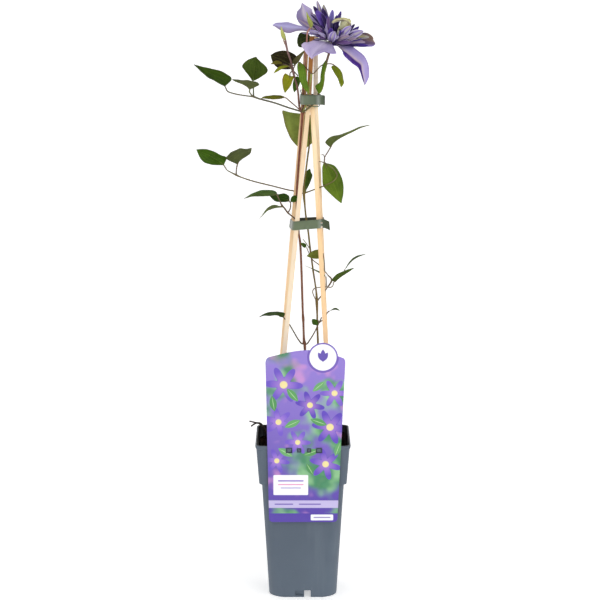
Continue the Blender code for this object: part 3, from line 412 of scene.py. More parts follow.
# %% Tools that cut and join
def block(low, high, ease=0.0):
    """A box between two corners, with eased edges."""
    mesh = bpy.data.meshes.new("block")
    sheet = bmesh.new()
    bmesh.ops.create_cube(sheet, size=1.0)
    for vert in sheet.verts:
        vert.co = Vector((low[i] + (vert.co[i] + 0.5) * (high[i] - low[i]) for i in range(3))) * MM
    if ease:
        bmesh.ops.bevel(sheet, geom=sheet.edges, offset=ease * MM, segments=2, affect="EDGES", profile=0.5)
    sheet.to_mesh(mesh)
    sheet.free()
    return mesh


def carve(mesh, tools, operation):
    """Join tools to a mesh or cut them away."""
    target = bpy.data.objects.new("target", mesh)
    group = bpy.data.collections.new("tools")
    bpy.context.scene.collection.children.link(group)
    bpy.context.scene.collection.objects.link(target)
    for tool in tools:
        group.objects.link(bpy.data.objects.new("tool", tool))
    modifier = target.modifiers.new("carve", "BOOLEAN")
    modifier.operation, modifier.operand_type, modifier.collection = operation, "COLLECTION", group
    made = bake(target)
    for tool in list(group.objects):
        bpy.data.objects.remove(tool)
    bpy.data.collections.remove(group)
    return made


def rounded_mesh(rings):
    """A loft as a mesh whose faces look outwards."""
    return face_out(mesh_of("loft", *skin(rings)))


# %% Loft the pot, cut its drain slots and add its lugs
def make_pot():
    """One loft up the outside and down the inside. Small pairs are how far out and how far up."""
    wall, step = POT_WALL, POT_COLLAR_HEIGHT
    low = POT_HEIGHT - POT_LIP_HEIGHT
    rim = POT_RIM_HALF + POT_LIP
    outside = [square_ring(POT_FOOT_HALF - 0.6, POT_FOOT_CORNER - 0.6, 0.0, POT_CREASE),
               square_ring(POT_FOOT_HALF - 0.15, POT_FOOT_CORNER - 0.15, 0.3, POT_CREASE)]
    outside += [body_ring(z) for z in (1.0, 20, 45, 70, 100, 125, step - 0.3)]
    for out, up in ((0.25, 0.0), (-0.6, 0.05), (-0.18, 0.2), (0.0, 0.7)):
        half = pot_half(step - 0.3) + out if out > 0 else POT_COLLAR_HALF + out
        outside.append(square_ring(half, POT_COLLAR_CORNER, step + up - 0.02))
    outside += [square_ring(pot_half(z), POT_COLLAR_CORNER, z) for z in (150, 165, low - 1.2)]
    for out, up in ((0.25, -0.6), (0.75, -0.1), (0.8, 0.4)):
        outside.append(square_ring(pot_half(low) + out, POT_RIM_CORNER, low + up))
    for out, up in ((0.0, -0.9), (-0.12, -0.4), (-0.42, -0.1), (-0.8, 0.0)):
        outside.append(square_ring(rim + out, POT_RIM_CORNER, POT_HEIGHT + up))
    inner = pot_half(POT_HEIGHT) - wall
    inside = [square_ring(inner + 0.4, POT_COLLAR_CORNER - wall, POT_HEIGHT),
              square_ring(inner + 0.1, POT_COLLAR_CORNER - wall, POT_HEIGHT - 0.1),
              square_ring(inner, POT_COLLAR_CORNER - wall, POT_HEIGHT - 0.5),
              square_ring(POT_COLLAR_HALF - wall, POT_COLLAR_CORNER - wall, step + wall),
              square_ring(pot_half(step - 2) - wall, POT_WAIST_CORNER - wall, step + wall - 0.02)]
    inside += [body_ring(z, wall) for z in (70, 20, POT_FLOOR + wall)]
    pot = rounded_mesh(outside + inside)
    under = rounded_mesh([body_ring(z, wall) for z in (-5, POT_FLOOR)])
    half = DRAIN_WIDTH / 2
    cuts = [under, block((-POT_RIM_HALF, -half, DRAIN_LOW), (POT_RIM_HALF, half, DRAIN_HIGH)),
            block((-half, 0, DRAIN_LOW), (half, POT_RIM_HALF, DRAIN_HIGH)),
            block((RIB_RIGHT, -POT_RIM_HALF, -5), (half, 0, DRAIN_HIGH)),
            block((-half, -POT_RIM_HALF, DRAIN_LOW), (RIB_RIGHT, FOOT_RECESS - POT_FOOT_HALF, DRAIN_HIGH))]
    pot = carve(pot, cuts, "DIFFERENCE")
    added = [block((RIB_LEFT, -RIB_HALF_LENGTH, 0), (RIB_RIGHT, RIB_HALF_LENGTH, POT_FLOOR + 0.4))]
    front = -pot_half(LUG_HEIGHT)
    for x, wide, tall in LUGS.values():
        added.append(block((x - wide / 2, front - LUG_OUT, LUG_HEIGHT - tall / 2),
                           (x + wide / 2, front + wall / 2, LUG_HEIGHT + tall / 2), LUG_EASE))
    return carve(pot, added, "UNION")


pot_mesh = make_pot()
adopt("pot", pot_mesh, POT_LOOK, ("pot",))
pot_mesh.set_sharp_from_angle(angle=POT_SHARP)
print("pot", triangles(pot_mesh), "triangles")


# %% Mark the inside of the wall, which is painted with shade and peat soiling
def inside_wall(x, y, z):
    """Whether a point of the upper pot is on the inner face of its wall."""
    half, corner = pot_half(z), pot_corner(z)
    past = [max(abs(v) - (half - corner), 0.0) for v in (x, y)]
    depth = math.hypot(*past) - corner if max(past) else max(abs(x), abs(y)) - half
    return z > POT_COLLAR_HEIGHT + 2 and depth < -0.6


within = [float(inside_wall(*(v.co / MM))) for v in pot_mesh.vertices]
paint(pot_mesh, "inside", "FLOAT", within)
print("soiled points", int(sum(within)), "of", len(within))

# %% [markdown]
# ## The potting mix
# The pot is full of dark peat mix: lumps, crumbs and fibres, wetter and darker in the hollows. The bed is
# one lofted block with a rough top. Its crumbs are scattered over it by Geometry Nodes, because they
# repeat hundreds of times over a surface.

# %% The mix's finish
def soil_look():
    look = Look("potting mix", Roughness=0.95, Specular_IOR_Level=0.08)
    where = look.place()
    grain = look.noise(where, 420.0, 6.0, 0.7)
    patch = look.noise(where, 70.0, 3.0)
    base = look.mix(look.step(grain, 0.38, 0.66), srgb(8, 5, 4), srgb(40, 27, 20))
    base = look.mix(look.part(patch, 0.5, 0.75, 0.5), base, srgb(78, 50, 34))
    look.colour(base)
    look.bump(grain, 0.0012, 0.9)
    return look.done()


SOIL_LOOK = soil_look()

# %% The bed
SOIL_TOP = 172.0
SOIL_HEAP_SPREAD = 24
SOIL_HEAP = 9.0
SOIL_HEAP_AT = (38.0, 34.0)
SOIL_LUMP = 1.7
SOIL_ROUGH = 1.5
BED_GAP = 0.5
BED_SHARES = 26


def soil_height(x, y):
    """The height of the soil's lumpy top, with its heap to the back."""
    far = math.dist((x, y), SOIL_HEAP_AT)
    heap = SOIL_HEAP * math.exp(-(far / SOIL_HEAP_SPREAD) ** 2)
    return SOIL_TOP + heap + SOIL_LUMP * noise.noise(Vector((x * 0.16, y * 0.16, 3.7)))


def make_bed():
    """A block that fills the pot, whose top is lumpy."""
    off = POT_WALL + BED_GAP
    step = POT_COLLAR_HEIGHT
    rings = [body_ring(z, off) for z in (POT_FLOOR + off, 70, step - 2)]
    rings.append(square_ring(pot_half(step - 2) - off, POT_WAIST_CORNER - off, step + off + 0.6))
    rings.append(square_ring(POT_COLLAR_HALF - off, POT_COLLAR_CORNER - off, step + off + 0.9))
    rings.append(square_ring(pot_half(SOIL_TOP - 3) - off, POT_COLLAR_CORNER - off, SOIL_TOP - 3))
    for k in range(BED_SHARES):
        share = 0.985 * (1 - k / BED_SHARES) + 0.004
        corner = (POT_COLLAR_CORNER + 26 * (1 - share)) * share
        ring = square_ring((pot_half(SOIL_TOP) - off) * share, corner, 0)
        rough = []
        for x, y, z in ring:
            spot = Vector((x * 0.5, y * 0.5, 1.3))
            rise = SOIL_ROUGH * noise.fractal(spot, 0.8, 2.1, 4) * min(1.0, 6 * (1 - share))
            rough.append((x, y, soil_height(x, y) + rise))
        rings.append(rough)
    return skin(rings)


bed = adopt("soil_bed", mesh_of("soil_bed", *make_bed()), SOIL_LOOK, ("soil",))
print("soil bed", triangles(bed.data), "triangles")

# %% A short way to write a Geometry Nodes tree
class Tree:
    """A Geometry Nodes tree with named inputs, and short calls for its nodes."""

    def __init__(self, name, inputs):
        self.group = bpy.data.node_groups.new(name, "GeometryNodeTree")
        face = self.group.interface
        face.new_socket("Geometry", in_out="INPUT", socket_type="NodeSocketGeometry")
        self.ids = {}
        for label, (kind, value) in inputs.items():
            socket = face.new_socket(label, in_out="INPUT", socket_type="NodeSocket" + kind)
            if value is not None:
                socket.default_value = value
            self.ids[label] = socket.identifier
        face.new_socket("Geometry", in_out="OUTPUT", socket_type="NodeSocketGeometry")
        self.source = self.group.nodes.new("NodeGroupInput")
        self.end = self.group.nodes.new("NodeGroupOutput")

    def given(self, label):
        return self.source.outputs[label]

    def add(self, kind, inputs=None, **settings):
        """A node with its settings and inputs, named by the input's label or its number."""
        node = self.group.nodes.new(kind)
        for key, value in settings.items():
            setattr(node, key, value)
        for key, value in (inputs or {}).items():
            socket = node.inputs[key]
            if isinstance(value, bpy.types.NodeSocket):
                self.group.links.new(value, socket)
            else:
                socket.default_value = value
        return node

    def math(self, operation, a, b=0.0):
        return self.add("ShaderNodeMath", {0: a, 1: b}, operation=operation).outputs[0]

    def finish(self, geometry):
        """Turn instances real and give the result its material."""
        real = self.add("GeometryNodeRealizeInstances", {"Geometry": geometry}).outputs[0]
        done = self.add("GeometryNodeSetMaterial", {"Geometry": real, "Material": self.given("Finish")})
        self.group.links.new(done.outputs[0], self.end.inputs["Geometry"])

    def run(self, name, mesh, values):
        """Grow the tree's result from a mesh, as a plain mesh."""
        obj = bpy.data.objects.new(name, mesh)
        bpy.context.scene.collection.objects.link(obj)
        modifier = obj.modifiers.new(name, "NODES")
        modifier.node_group = self.group
        for label, value in values.items():
            modifier[self.ids[label]] = value
        return bake(obj)


# %% Crumbs and lumps over the bed, by Geometry Nodes
CRUMB_SEED = 5
CRUMB_SHOULDER = 165.0
CRUMB_STEEPEST = 0.2
FULL_TURN = 6.28


def crumb_tree():
    """Small bent balls of many sizes, scattered and turned every way."""
    tree = Tree("scatter crumbs", {
        "Crumbs per m2": ("Float", 1000.0), "Smallest": ("Float", 0.0005), "Largest": ("Float", 0.002),
        "Stretch": ("Float", 1.6), "Seed": ("Int", 1), "Finish": ("Material", None)})
    spots = tree.add("GeometryNodeDistributePointsOnFaces", {
        "Mesh": tree.given("Geometry"), "Density": tree.given("Crumbs per m2"), "Seed": tree.given("Seed")})
    ball = tree.add("GeometryNodeMeshIcoSphere", {"Radius": 0.5, "Subdivisions": 1})
    size = tree.add("FunctionNodeRandomValue", data_type="FLOAT")
    tree.group.links.new(tree.given("Smallest"), size.inputs[2])
    tree.group.links.new(tree.given("Largest"), size.inputs[3])
    tree.group.links.new(tree.given("Seed"), size.inputs[8])
    turn = tree.add("FunctionNodeRandomValue", {0: (0, 0, 0), 1: [FULL_TURN] * 3, 8: 3},
                    data_type="FLOAT_VECTOR")
    long = tree.math("MULTIPLY", size.outputs[1], tree.given("Stretch"))
    shape = tree.add("ShaderNodeCombineXYZ", {0: size.outputs[1], 1: long, 2: size.outputs[1]})
    crumbs = tree.add("GeometryNodeInstanceOnPoints", {
        "Points": spots.outputs[0], "Instance": ball.outputs[0], "Rotation": turn.outputs[0],
        "Scale": shape.outputs[0]})
    real = tree.add("GeometryNodeRealizeInstances", {"Geometry": crumbs.outputs[0]})
    rough = tree.add("ShaderNodeTexNoise", {"Scale": 900.0})
    shift = tree.add("ShaderNodeVectorMath", {0: rough.outputs["Color"], 1: (0.5, 0.5, 0.5)},
                     operation="SUBTRACT")
    small = tree.add("ShaderNodeVectorMath", {0: shift.outputs[0], "Scale": 0.0011}, operation="SCALE")
    bent = tree.add("GeometryNodeSetPosition", {"Geometry": real.outputs[0], "Offset": small.outputs[0]})
    tree.finish(bent.outputs[0])
    return tree


def soil_top_mesh(margin):
    """The part of the bed's top that is clear of the wall."""
    mesh = bed.data.copy()
    sheet = bmesh.new()
    sheet.from_mesh(mesh)
    reach = (pot_half(SOIL_TOP) - margin) * MM
    away = []
    for face in sheet.faces:
        x, y, z = face.calc_center_median()
        if face.normal.z < CRUMB_STEEPEST or z < CRUMB_SHOULDER * MM or max(abs(x), abs(y)) > reach:
            away.append(face)
    bmesh.ops.delete(sheet, geom=away, context="FACES")
    sheet.to_mesh(mesh)
    sheet.free()
    return mesh


crumbs = crumb_tree()
lumps = crumbs.run("lumps", soil_top_mesh(5.5), {
    "Crumbs per m2": 90000.0, "Smallest": 0.0014, "Largest": 0.0042, "Stretch": 1.4,
    "Seed": CRUMB_SEED, "Finish": SOIL_LOOK})
grit = crumbs.run("grit", soil_top_mesh(4.0), {
    "Crumbs per m2": 260000.0, "Smallest": 0.0005, "Largest": 0.0015, "Stretch": 2.4,
    "Seed": CRUMB_SEED + 1, "Finish": SOIL_LOOK})
adopt("soil_lumps", lumps, None)
adopt("soil_grit", grit, None)
print("crumbs", triangles(lumps) + triangles(grit), "triangles")

# %% Dead roots that lie over the back left corner
DEAD_ROOTS = [
    [(-38, 30, 168), (-44, 38, 181), (-50, 43, 189), (-56, 46, 189.5), (-64, 46, 191.5)],
    [(-40, 32, 168), (-46, 41, 182), (-53, 47, 188.5), (-58, 48, 187.6), (-62, 48, 184.6)],
]
DEAD_ROOT_RADIUS = 0.9
DEAD_ROOT_TONES = ((30, 22, 18), (44, 34, 28))
print("dead roots", len(DEAD_ROOTS))

# %% [markdown]
# ## The pine sticks
# The trellis is four sawn pine sticks, 5.3 mm square, pushed into the mix near the corners and leaning
# together at the top. Sawn pine is pale, with darker grain lines that run along it. Each stick is a loft
# with small rounded edges, and carries a map of its own length so that the grain follows it.

# %% Pine
def pine_look():
    look = Look("sawn pine", Roughness=0.62, Specular_IOR_Level=0.2)
    along = look.add("UVMap", uv_map="along").outputs[0]
    grain = look.noise(look.place(scale=(90, 2.2, 1), source=along), 3.0, 5.0, 0.6)
    rings = look.noise(look.place(scale=(16, 0.5, 1), source=along), 3.0, 2.0, 0.5)
    pores = look.noise(look.place(scale=(260, 14, 1), source=along), 3.0, 2.0)
    # The tone carries each stick's colour, with painted shade at the left tops and painted light on the back
    # right stick.
    tone = look.attribute("tone")
    deep = look.mix(0.5, tone, srgb(222, 164, 104))
    base = look.mix(look.part(rings, 0.36, 0.66, 0.7), tone, deep)
    base = look.mix(look.part(grain, 0.5, 0.8, 0.4), base, srgb(204, 150, 98))
    base = look.mix(look.part(pores, 0.62, 0.8, 0.25), base, srgb(170, 120, 76))
    look.colour(base)
    look.bump(look.plus(grain, look.times(pores, 0.4)), 0.00018, 0.7)
    return look.done()


PINE_LOOK = pine_look()

# %% Lines and tones of the four sticks
STICK = 5.3
STICKS = {
    "stick_front_left": [(-34.5, -31.5, 60), (-33, -30, 170), (6.6, -5.6, 575), (10.3, -5.4, 650)],
    "stick_back_left": [(-34.5, 31.5, 60), (-33.4, 30, 170), (0.6, 1.0, 575), (3.8, 1.0, 641)],
    "stick_front_right": [(32.0, -29.0, 16), (34, -30, 170), (10.3, 0, 575), (10.4, 0.2, 581)],
    "stick_back_right": [(33.5, 31.5, 60), (32.6, 30, 170), (14.6, 5.6, 575), (14.6, 5.2, 650)],
}
# Colours along each stick, each with its height. The tops of the two left sticks are painted darker, painted
# shade under the bloom, and the back right stick is painted lighter from 540 to 610 mm, painted light against
# the shade of the sticks in front of it.
STICK_TONES_AND_SHADE = {
    "stick_front_left": [(60, (246, 230, 206)), (480, (246, 228, 200)), (566, (236, 212, 174)),
                         (596, (150, 94, 30)), (650, (120, 68, 14))],
    "stick_back_left": [(60, (244, 212, 168)), (540, (246, 214, 172)), (596, (214, 172, 122)),
                        (641, (196, 154, 108))],
    "stick_front_right": [(60, (250, 212, 166)), (440, (250, 212, 164)), (540, (255, 236, 198)),
                          (581, (240, 208, 160))],
    "stick_back_right": [(60, (240, 208, 170)), (440, (244, 214, 176)), (540, (255, 234, 200)),
                         (610, (255, 250, 232)), (650, (250, 226, 190))],
}
STICK_ROUND_STEPS = 4
STICK_SECTION = 9.0
STICK_EASE = 0.42
STICK_SHAVED = 0.04
STICK_WAVER = 0.06
STICK_MAP_SHIFT = 0.3
STICK_SHARP = math.radians(40)
print("sticks", len(STICKS), "of", STICK, "mm")


# %% Loft the sticks
def stick_ring(x, y, z, half, ease):
    """A square section with eased corners."""
    ring = []
    for quarter in range(4):
        for k in range(STICK_ROUND_STEPS + 1):
            angle = quarter * math.pi / 2 + k * math.pi / 2 / STICK_ROUND_STEPS
            cx = (half - ease) * (1 if quarter in (0, 3) else -1)
            cy = (half - ease) * (1 if quarter in (0, 1) else -1)
            ring.append((x + cx + ease * math.cos(angle), y + cy + ease * math.sin(angle), z))
    return ring


def make_stick(name, path, seed):
    """A loft along the stick's line, with a saw's slight waver and a chamfered top."""
    run = []
    for a, b in zip(path, path[1:]):
        count = max(1, round(math.dist(a, b) / STICK_SECTION))
        run += [tuple(p + (q - p) * k / count for p, q in zip(a, b)) for k in range(count)]
    run.append(path[-1])
    rings = []
    for i, (x, y, z) in enumerate(run):
        waver = Vector((x * 0.01 + seed * 7, z * 0.02, 0.5))
        half = STICK / 2 - STICK_SHAVED + STICK_WAVER * noise.noise(waver)
        rings.append(stick_ring(x, y, z, half, STICK_EASE))
    x, y, z = run[-1]
    rings[-1] = stick_ring(x, y, z - 0.35, STICK / 2 - STICK_SHAVED, STICK_EASE)
    rings.append(stick_ring(x, y, z, STICK / 2 - 0.36, 0.3))
    points, faces = skin(rings)
    stick = adopt(name, mesh_of(name, points, faces), PINE_LOOK, (name,))
    layer = stick.data.uv_layers.new(name="along")
    count = len(rings[0])
    for loop in stick.data.loops:
        ring, k = divmod(loop.vertex_index, count)
        round_it = k / count * 4 * STICK * MM + seed * STICK_MAP_SHIFT
        layer.data[loop.index].uv = (round_it, points[loop.vertex_index][2] * MM)
    for poly in stick.data.polygons:
        corners = [layer.data[i].uv for i in poly.loop_indices]
        spots = [corner[0] for corner in corners]
        if len(corners) == 4 and max(spots) - min(spots) > 2 * STICK * MM:
            for corner in corners:
                if corner[0] < seed * STICK_MAP_SHIFT + STICK * MM:
                    corner[0] += 4 * STICK * MM
    # Painted shade and light along the sticks, from their table of tones.
    bands, paints = zip(*STICK_TONES_AND_SHADE[name])
    paint(stick.data, "tone", "FLOAT_COLOR", blend_tones([p[2] for p in points], bands, paints))
    stick.data.set_sharp_from_angle(angle=STICK_SHARP)
    return stick


for number, (name, path) in enumerate(STICKS.items()):
    stick = make_stick(name, path, number)
print("a stick", triangles(stick.data), "triangles")

# %% [markdown]
# ## Straps and tie wire
# Two flat straps of soft grey-green plastic hold the sticks, each bent round them and ended in a loose
# tail, and a thin green wire is looped over the upper one. A strap is a ribbon that follows a line seen
# from above, so its wall is given a rounded edge here. The wire is a tube that follows a closed path.

# %% Plastic of the straps and wire
def strap_look():
    look = Look("strap plastic", Roughness=0.42, Specular_IOR_Level=0.35)
    where = look.place()
    cloud = look.noise(where, 130.0, 3.0)
    # The tone carries the straps' own colour, with painted shade and painted highlights along each run.
    tone = look.attribute("tone")
    look.colour(look.mix(look.part(cloud, 0.35, 0.7, 0.2), tone, srgb(60, 76, 56)))
    look.bump(look.noise(where, 900.0, 2.0), 0.00005, 0.5)
    return look.done()


def wire_look():
    look = Look("green wire", Roughness=0.35)
    where = look.place()
    look.colour(look.mix(look.noise(where, 400.0, 2.0), srgb(8, 76, 44), srgb(20, 100, 62)))
    look.bump(look.noise(where, 1500.0, 1.0), 0.00004, 0.5)
    return look.done()


STRAP_LOOK, WIRE_LOOK = strap_look(), wire_look()

# %% Lines and colours of the straps
STRAP_THICKNESS = 0.8
# Tones of the straps: the face is the plastic's own colour; the tail and the hidden back run are painted
# shade, and the bends and the side are painted highlights.
STRAP_FACE, STRAP_TAIL_SHADE, STRAP_BEND_HIGHLIGHT = (100, 113, 86), (58, 68, 42), (146, 152, 140)
STRAP_BACK_SHADE, STRAP_SIDE_LIGHT = (40, 46, 36), (124, 128, 118)
# Each run goes from the loose tail round the sticks: across, back, lift and colour. The colours paint shade
# where the strap turns away from the light and behind the sticks, and highlights on its bends.
STRAP_LOWER = {
    "heights": (430.6, 440.8), "spread": 0.5,
    "run": [(30.5, -7.6, -1.9, STRAP_TAIL_SHADE), (27.4, -8.6, -0.3, STRAP_TAIL_SHADE), (23.8, -11.4, 1.5, STRAP_TAIL_SHADE),
            (21.4, -13.6, 1.5, (70, 84, 60)), (19.4, -15.0, 1.4, STRAP_BEND_HIGHLIGHT), (17.4, -15.3, 1.2, STRAP_FACE),
            (5, -16.3, 0.4, STRAP_FACE), (-10.6, -17.6, -0.7, STRAP_FACE), (-11.4, -16.6, -0.8, STRAP_SIDE_LIGHT),
            (-14.8, 13.4, -1.0, STRAP_SIDE_LIGHT), (-14.2, 14.6, -1.0, STRAP_BACK_SHADE), (5, 16.2, 0.0, STRAP_BACK_SHADE),
            (23.2, 17.4, 0.6, STRAP_BACK_SHADE), (23.8, 16.4, 0.6, STRAP_BACK_SHADE), (24.0, 4, 1.0, STRAP_BACK_SHADE),
            (23.9, -9.4, 1.4, STRAP_BACK_SHADE)],
}
STRAP_UPPER = {
    "heights": (573.0, 584.0), "spread": 0.0,
    "run": [(24.6, -8.6, -0.8, (44, 54, 38)), (22.6, -9.9, -0.4, (62, 74, 52)),
            (20.8, -11.0, 0, (84, 96, 74)),
            (18.6, -12.2, 0, (78, 90, 68)), (17.2, -12.5, 0, (196, 200, 196)), (15.8, -12.5, 0, (60, 72, 54)),
            (13.6, -12.5, 0, (92, 104, 82)), (8, -12.5, 0, (94, 106, 84)), (0.6, -12.4, 0, (98, 110, 88)),
            (-1.0, -12.4, 0, STRAP_BEND_HIGHLIGHT), (-2.0, -11.6, 0, (110, 120, 104)), (-2.7, -1.6, 0, (90, 102, 82)),
            (-2.7, 4.6, 0, STRAP_BACK_SHADE), (-1.8, 5.6, 0, STRAP_BACK_SHADE), (5.5, 8.2, 0, STRAP_BACK_SHADE),
            (12.6, 10.4, 0, STRAP_BACK_SHADE), (18.6, 10.4, 0, STRAP_BACK_SHADE), (19.6, 9.4, 0, STRAP_BACK_SHADE),
            (19.9, 2, 0, STRAP_BACK_SHADE), (19.0, -7.6, 0, STRAP_BACK_SHADE), (16.9, -10.9, 0, STRAP_BACK_SHADE)],
}
STRAP_HOLES = [(21.4, 438.2), (21.6, 433.4)]
STRAP_HOLE_RADIUS = 0.8
STRAP_HOLE_DEPTH = 12
STRAP_STEP = 1.2
STRAP_ROWS = 10
STRAP_REACH = 18
STRAP_SHARP = math.radians(40)
print("strap turns", len(STRAP_LOWER["run"]), len(STRAP_UPPER["run"]))


# %% Bend the straps
def strap_mesh(strap):
    """A ribbon with a full round edge, wider at its lower edge as the sticks spread."""
    low, high = strap["heights"]
    flat = [np.array((x, y, lift, *srgb(*tone))) for x, y, lift, tone in strap["run"]]
    centre = sum(flat) / len(flat)
    area = sum(a[0] * b[1] - b[0] * a[1] for a, b in zip(flat, flat[1:]))
    sign = 1.0 if area > 0 else -1.0
    run = []
    for a, b in zip(flat, flat[1:]):
        count = max(1, round(math.dist(a[:2], b[:2]) / STRAP_STEP))
        run += [a + (b - a) * k / count for k in range(count)]
    run.append(flat[-1])
    for _ in range(2):
        run = [run[0]] + [(a + 2 * b + c) / 4 for a, b, c in zip(run, run[1:], run[2:])] + [run[-1]]
    points, tones = [], []
    half = STRAP_THICKNESS / 2
    profile = []
    for k in range(STRAP_ROWS + 1):
        share = k / STRAP_ROWS
        profile.append((half * min(1.0, 0.35 + 4 * min(share, 1 - share)), low + (high - low) * share))
    count = len(run)
    for side in (1, -1):
        for thick, z in profile:
            grow = strap["spread"] * (0.5 - (z - low) / (high - low)) * 2 / STRAP_REACH
            for i, p in enumerate(run):
                before, after = run[max(0, i - 1)], run[min(count - 1, i + 1)]
                way = (after - before)[:2] / math.dist(after[:2], before[:2])
                out = np.array((way[1], -way[0])) * sign
                place = p[:2] + (p[:2] - centre[:2]) * grow + out * (half + side * thick)
                points.append((place[0], place[1], z + p[2]))
                tones += [*p[3:], 1.0]
    mesh = mesh_of("strap", points, slab_faces(len(profile), count))
    paint(mesh, "tone", "FLOAT_COLOR", tones)
    return face_out(mesh)


def pin(x, z):
    """A round tool that cuts one hole in the front of the lower strap."""
    mesh = bpy.data.meshes.new("pin")
    sheet = bmesh.new()
    bmesh.ops.create_cone(sheet, cap_ends=True, segments=24, radius1=STRAP_HOLE_RADIUS * MM,
                          radius2=STRAP_HOLE_RADIUS * MM, depth=STRAP_HOLE_DEPTH * MM)
    for vert in sheet.verts:
        vert.co = Vector((vert.co.x, vert.co.z, -vert.co.y)) + Vector((x, -STRAP_HOLE_DEPTH, z)) * MM
    bmesh.ops.recalc_face_normals(sheet, faces=sheet.faces)
    sheet.to_mesh(mesh)
    sheet.free()
    return mesh


lower = carve(strap_mesh(STRAP_LOWER), [pin(x, z) for x, z in STRAP_HOLES], "DIFFERENCE")
adopt("strap_lower", lower, STRAP_LOOK, ("strap_lower",))
lower.set_sharp_from_angle(angle=STRAP_SHARP)
upper = strap_mesh(STRAP_UPPER)
adopt("strap_upper", upper, STRAP_LOOK, ("strap_upper",))
print("straps", triangles(lower), triangles(upper), "triangles")

# %% A tube that follows paths, by Geometry Nodes
def tube_tree():
    """A ribbed and lumpy skin, as thick at every point as the line says."""
    tree = Tree("tube on paths", {
        "Step": ("Float", 0.001), "Ribs": ("Int", 6), "Rib depth": ("Float", 0.06),
        "Lumps": ("Float", 0.1), "Lump scale": ("Float", 150.0), "Finish": ("Material", None)})
    line = tree.add("GeometryNodeMeshToCurve", {"Mesh": tree.given("Geometry")})
    fine = tree.add("GeometryNodeResampleCurve", {"Curve": line.outputs[0], "Length": tree.given("Step")},
                    mode="LENGTH")
    inner = tree.math("SUBTRACT", MM, tree.math("MULTIPLY", tree.given("Rib depth"), MM))
    star = tree.add("GeometryNodeCurveStar", {
        "Points": tree.given("Ribs"), "Inner Radius": inner, "Outer Radius": MM})
    thick = tree.add("GeometryNodeInputNamedAttribute", {"Name": "thick"}, data_type="FLOAT")
    rough = tree.add("ShaderNodeTexNoise", {"Scale": tree.given("Lump scale"), "Detail": 3.0})
    swing = tree.math("MULTIPLY", tree.math("SUBTRACT", rough.outputs["Fac"], 0.5), tree.given("Lumps"))
    scale = tree.math("MULTIPLY", thick.outputs[0], tree.math("ADD", swing, 1.0))
    skin_node = tree.add("GeometryNodeCurveToMesh", {
        "Curve": fine.outputs[0], "Profile Curve": star.outputs[0], "Scale": scale, "Fill Caps": True})
    smooth = tree.add("GeometryNodeSetShadeSmooth", {"Geometry": skin_node.outputs[0]})
    tree.finish(smooth.outputs[0])
    return tree


TUBES = tube_tree()


def path_mesh(runs, closed=False):
    """Edges along each run, carrying thickness in millimetres and a colour at every point."""
    points, edges, thick, tones = [], [], [], []
    for run, (first, last) in runs:
        start = len(points)
        for i, p in enumerate(run):
            share = i / max(1, len(run) - 1)
            points.append(tuple(np.array(p[:3]) * MM))
            thick.append(float(p[3]))
            tones += [*(a + (b - a) * share for a, b in zip(srgb(*first), srgb(*last))), 1.0]
        edges += [(start + i, start + i + 1) for i in range(len(run) - 1)]
        if closed:
            edges.append((len(points) - 1, start))
    mesh = bpy.data.meshes.new("paths")
    mesh.from_pydata(points, edges, [])
    paint(mesh, "thick", "FLOAT", thick)
    paint(mesh, "tone", "FLOAT_COLOR", tones)
    return mesh


# Step along the line in metres, number of ribs, their depth, depth of the lumps and how fine they are.
WIRE_SKIN = (0.0008, 6, 0.02, 0.08, 500.0)
STEM_SKIN = (0.0012, 6, 0.1, 0.22, 140.0)
ROOT_SKIN = (0.001, 6, 0.2, 0.6, 300.0)
BUD_SKIN = (0.0005, 8, 0.16, 0.05, 300.0)
CORE_SKIN = (0.0006, 10, 0.06, 0.08, 200.0)


def grow_tubes(name, runs, look, form, nodes=(), closed=False):
    """Sweep a skin of one form along runs and give the result to the part."""
    values = dict(zip(("Step", "Ribs", "Rib depth", "Lumps", "Lump scale"), form))
    mesh = TUBES.run(name, path_mesh(runs, closed), {**values, "Finish": look})
    adopt(name, face_out(mesh), None, nodes)
    print(name, triangles(mesh), "triangles")


# %% Loop the wire
TIE_RADIUS = 0.45
TIE_RUN = [(10, -9.1, 571), (5, -9.1, 571.8), (0.6, -8.7, 576.5), (-1.1, -7.6, 583), (-2.6, -5, 587.4),
           (-3.0, -1, 588.6), (-2.6, 3.6, 588.8), (1, 5.4, 588), (6, 7.4, 585), (12, 9.1, 579.5),
           (16.2, 9.2, 575.6), (18.5, 8.5, 573.0), (19.0, 6.2, 571.4), (18.8, 2, 570.8), (18.2, -3, 570.6),
           (14.5, -7, 570.5)]
tie_run = smooth_run([(*p, TIE_RADIUS) for p in TIE_RUN], 1.0, True)
TIE_TONE = ((30, 110, 70), (30, 110, 70))
grow_tubes("tie_wire", [(tie_run, TIE_TONE)], WIRE_LOOK, WIRE_SKIN, ("tie_wire",), True)

# %% [markdown]
# ## The printed card
# A plastic-coated card hangs on four lugs at the pot's front. It tapers to its foot, its top is arched and
# a round lobe stands up at the right. The print is a plain design of our own: climbing sprigs and small
# blossoms on violet, a pale panel and a white disc. It is drawn with distances inside the material, so
# that its edges stay sharp at any size.

# %% Measures and motifs of the card
CARD_PETALS = 6
# Across, height, radius, turn and colour of each blossom.
CARD_BLOSSOMS = [
    (-22, 258, 22, 0.4, (112, 88, 196)), (8, 234, 17, 1.2, (96, 72, 184)),
    (36, 248, 17, 0.0, (124, 98, 202)), (-28, 214, 17, 2.0, (118, 92, 200)),
    (31, 208, 21, 0.8, (100, 76, 188)), (-6, 190, 15, 0.2, (120, 94, 200)),
    (26, 164, 19, 1.7, (104, 80, 190)), (-30, 168, 15, 0.9, (112, 88, 196)),
]
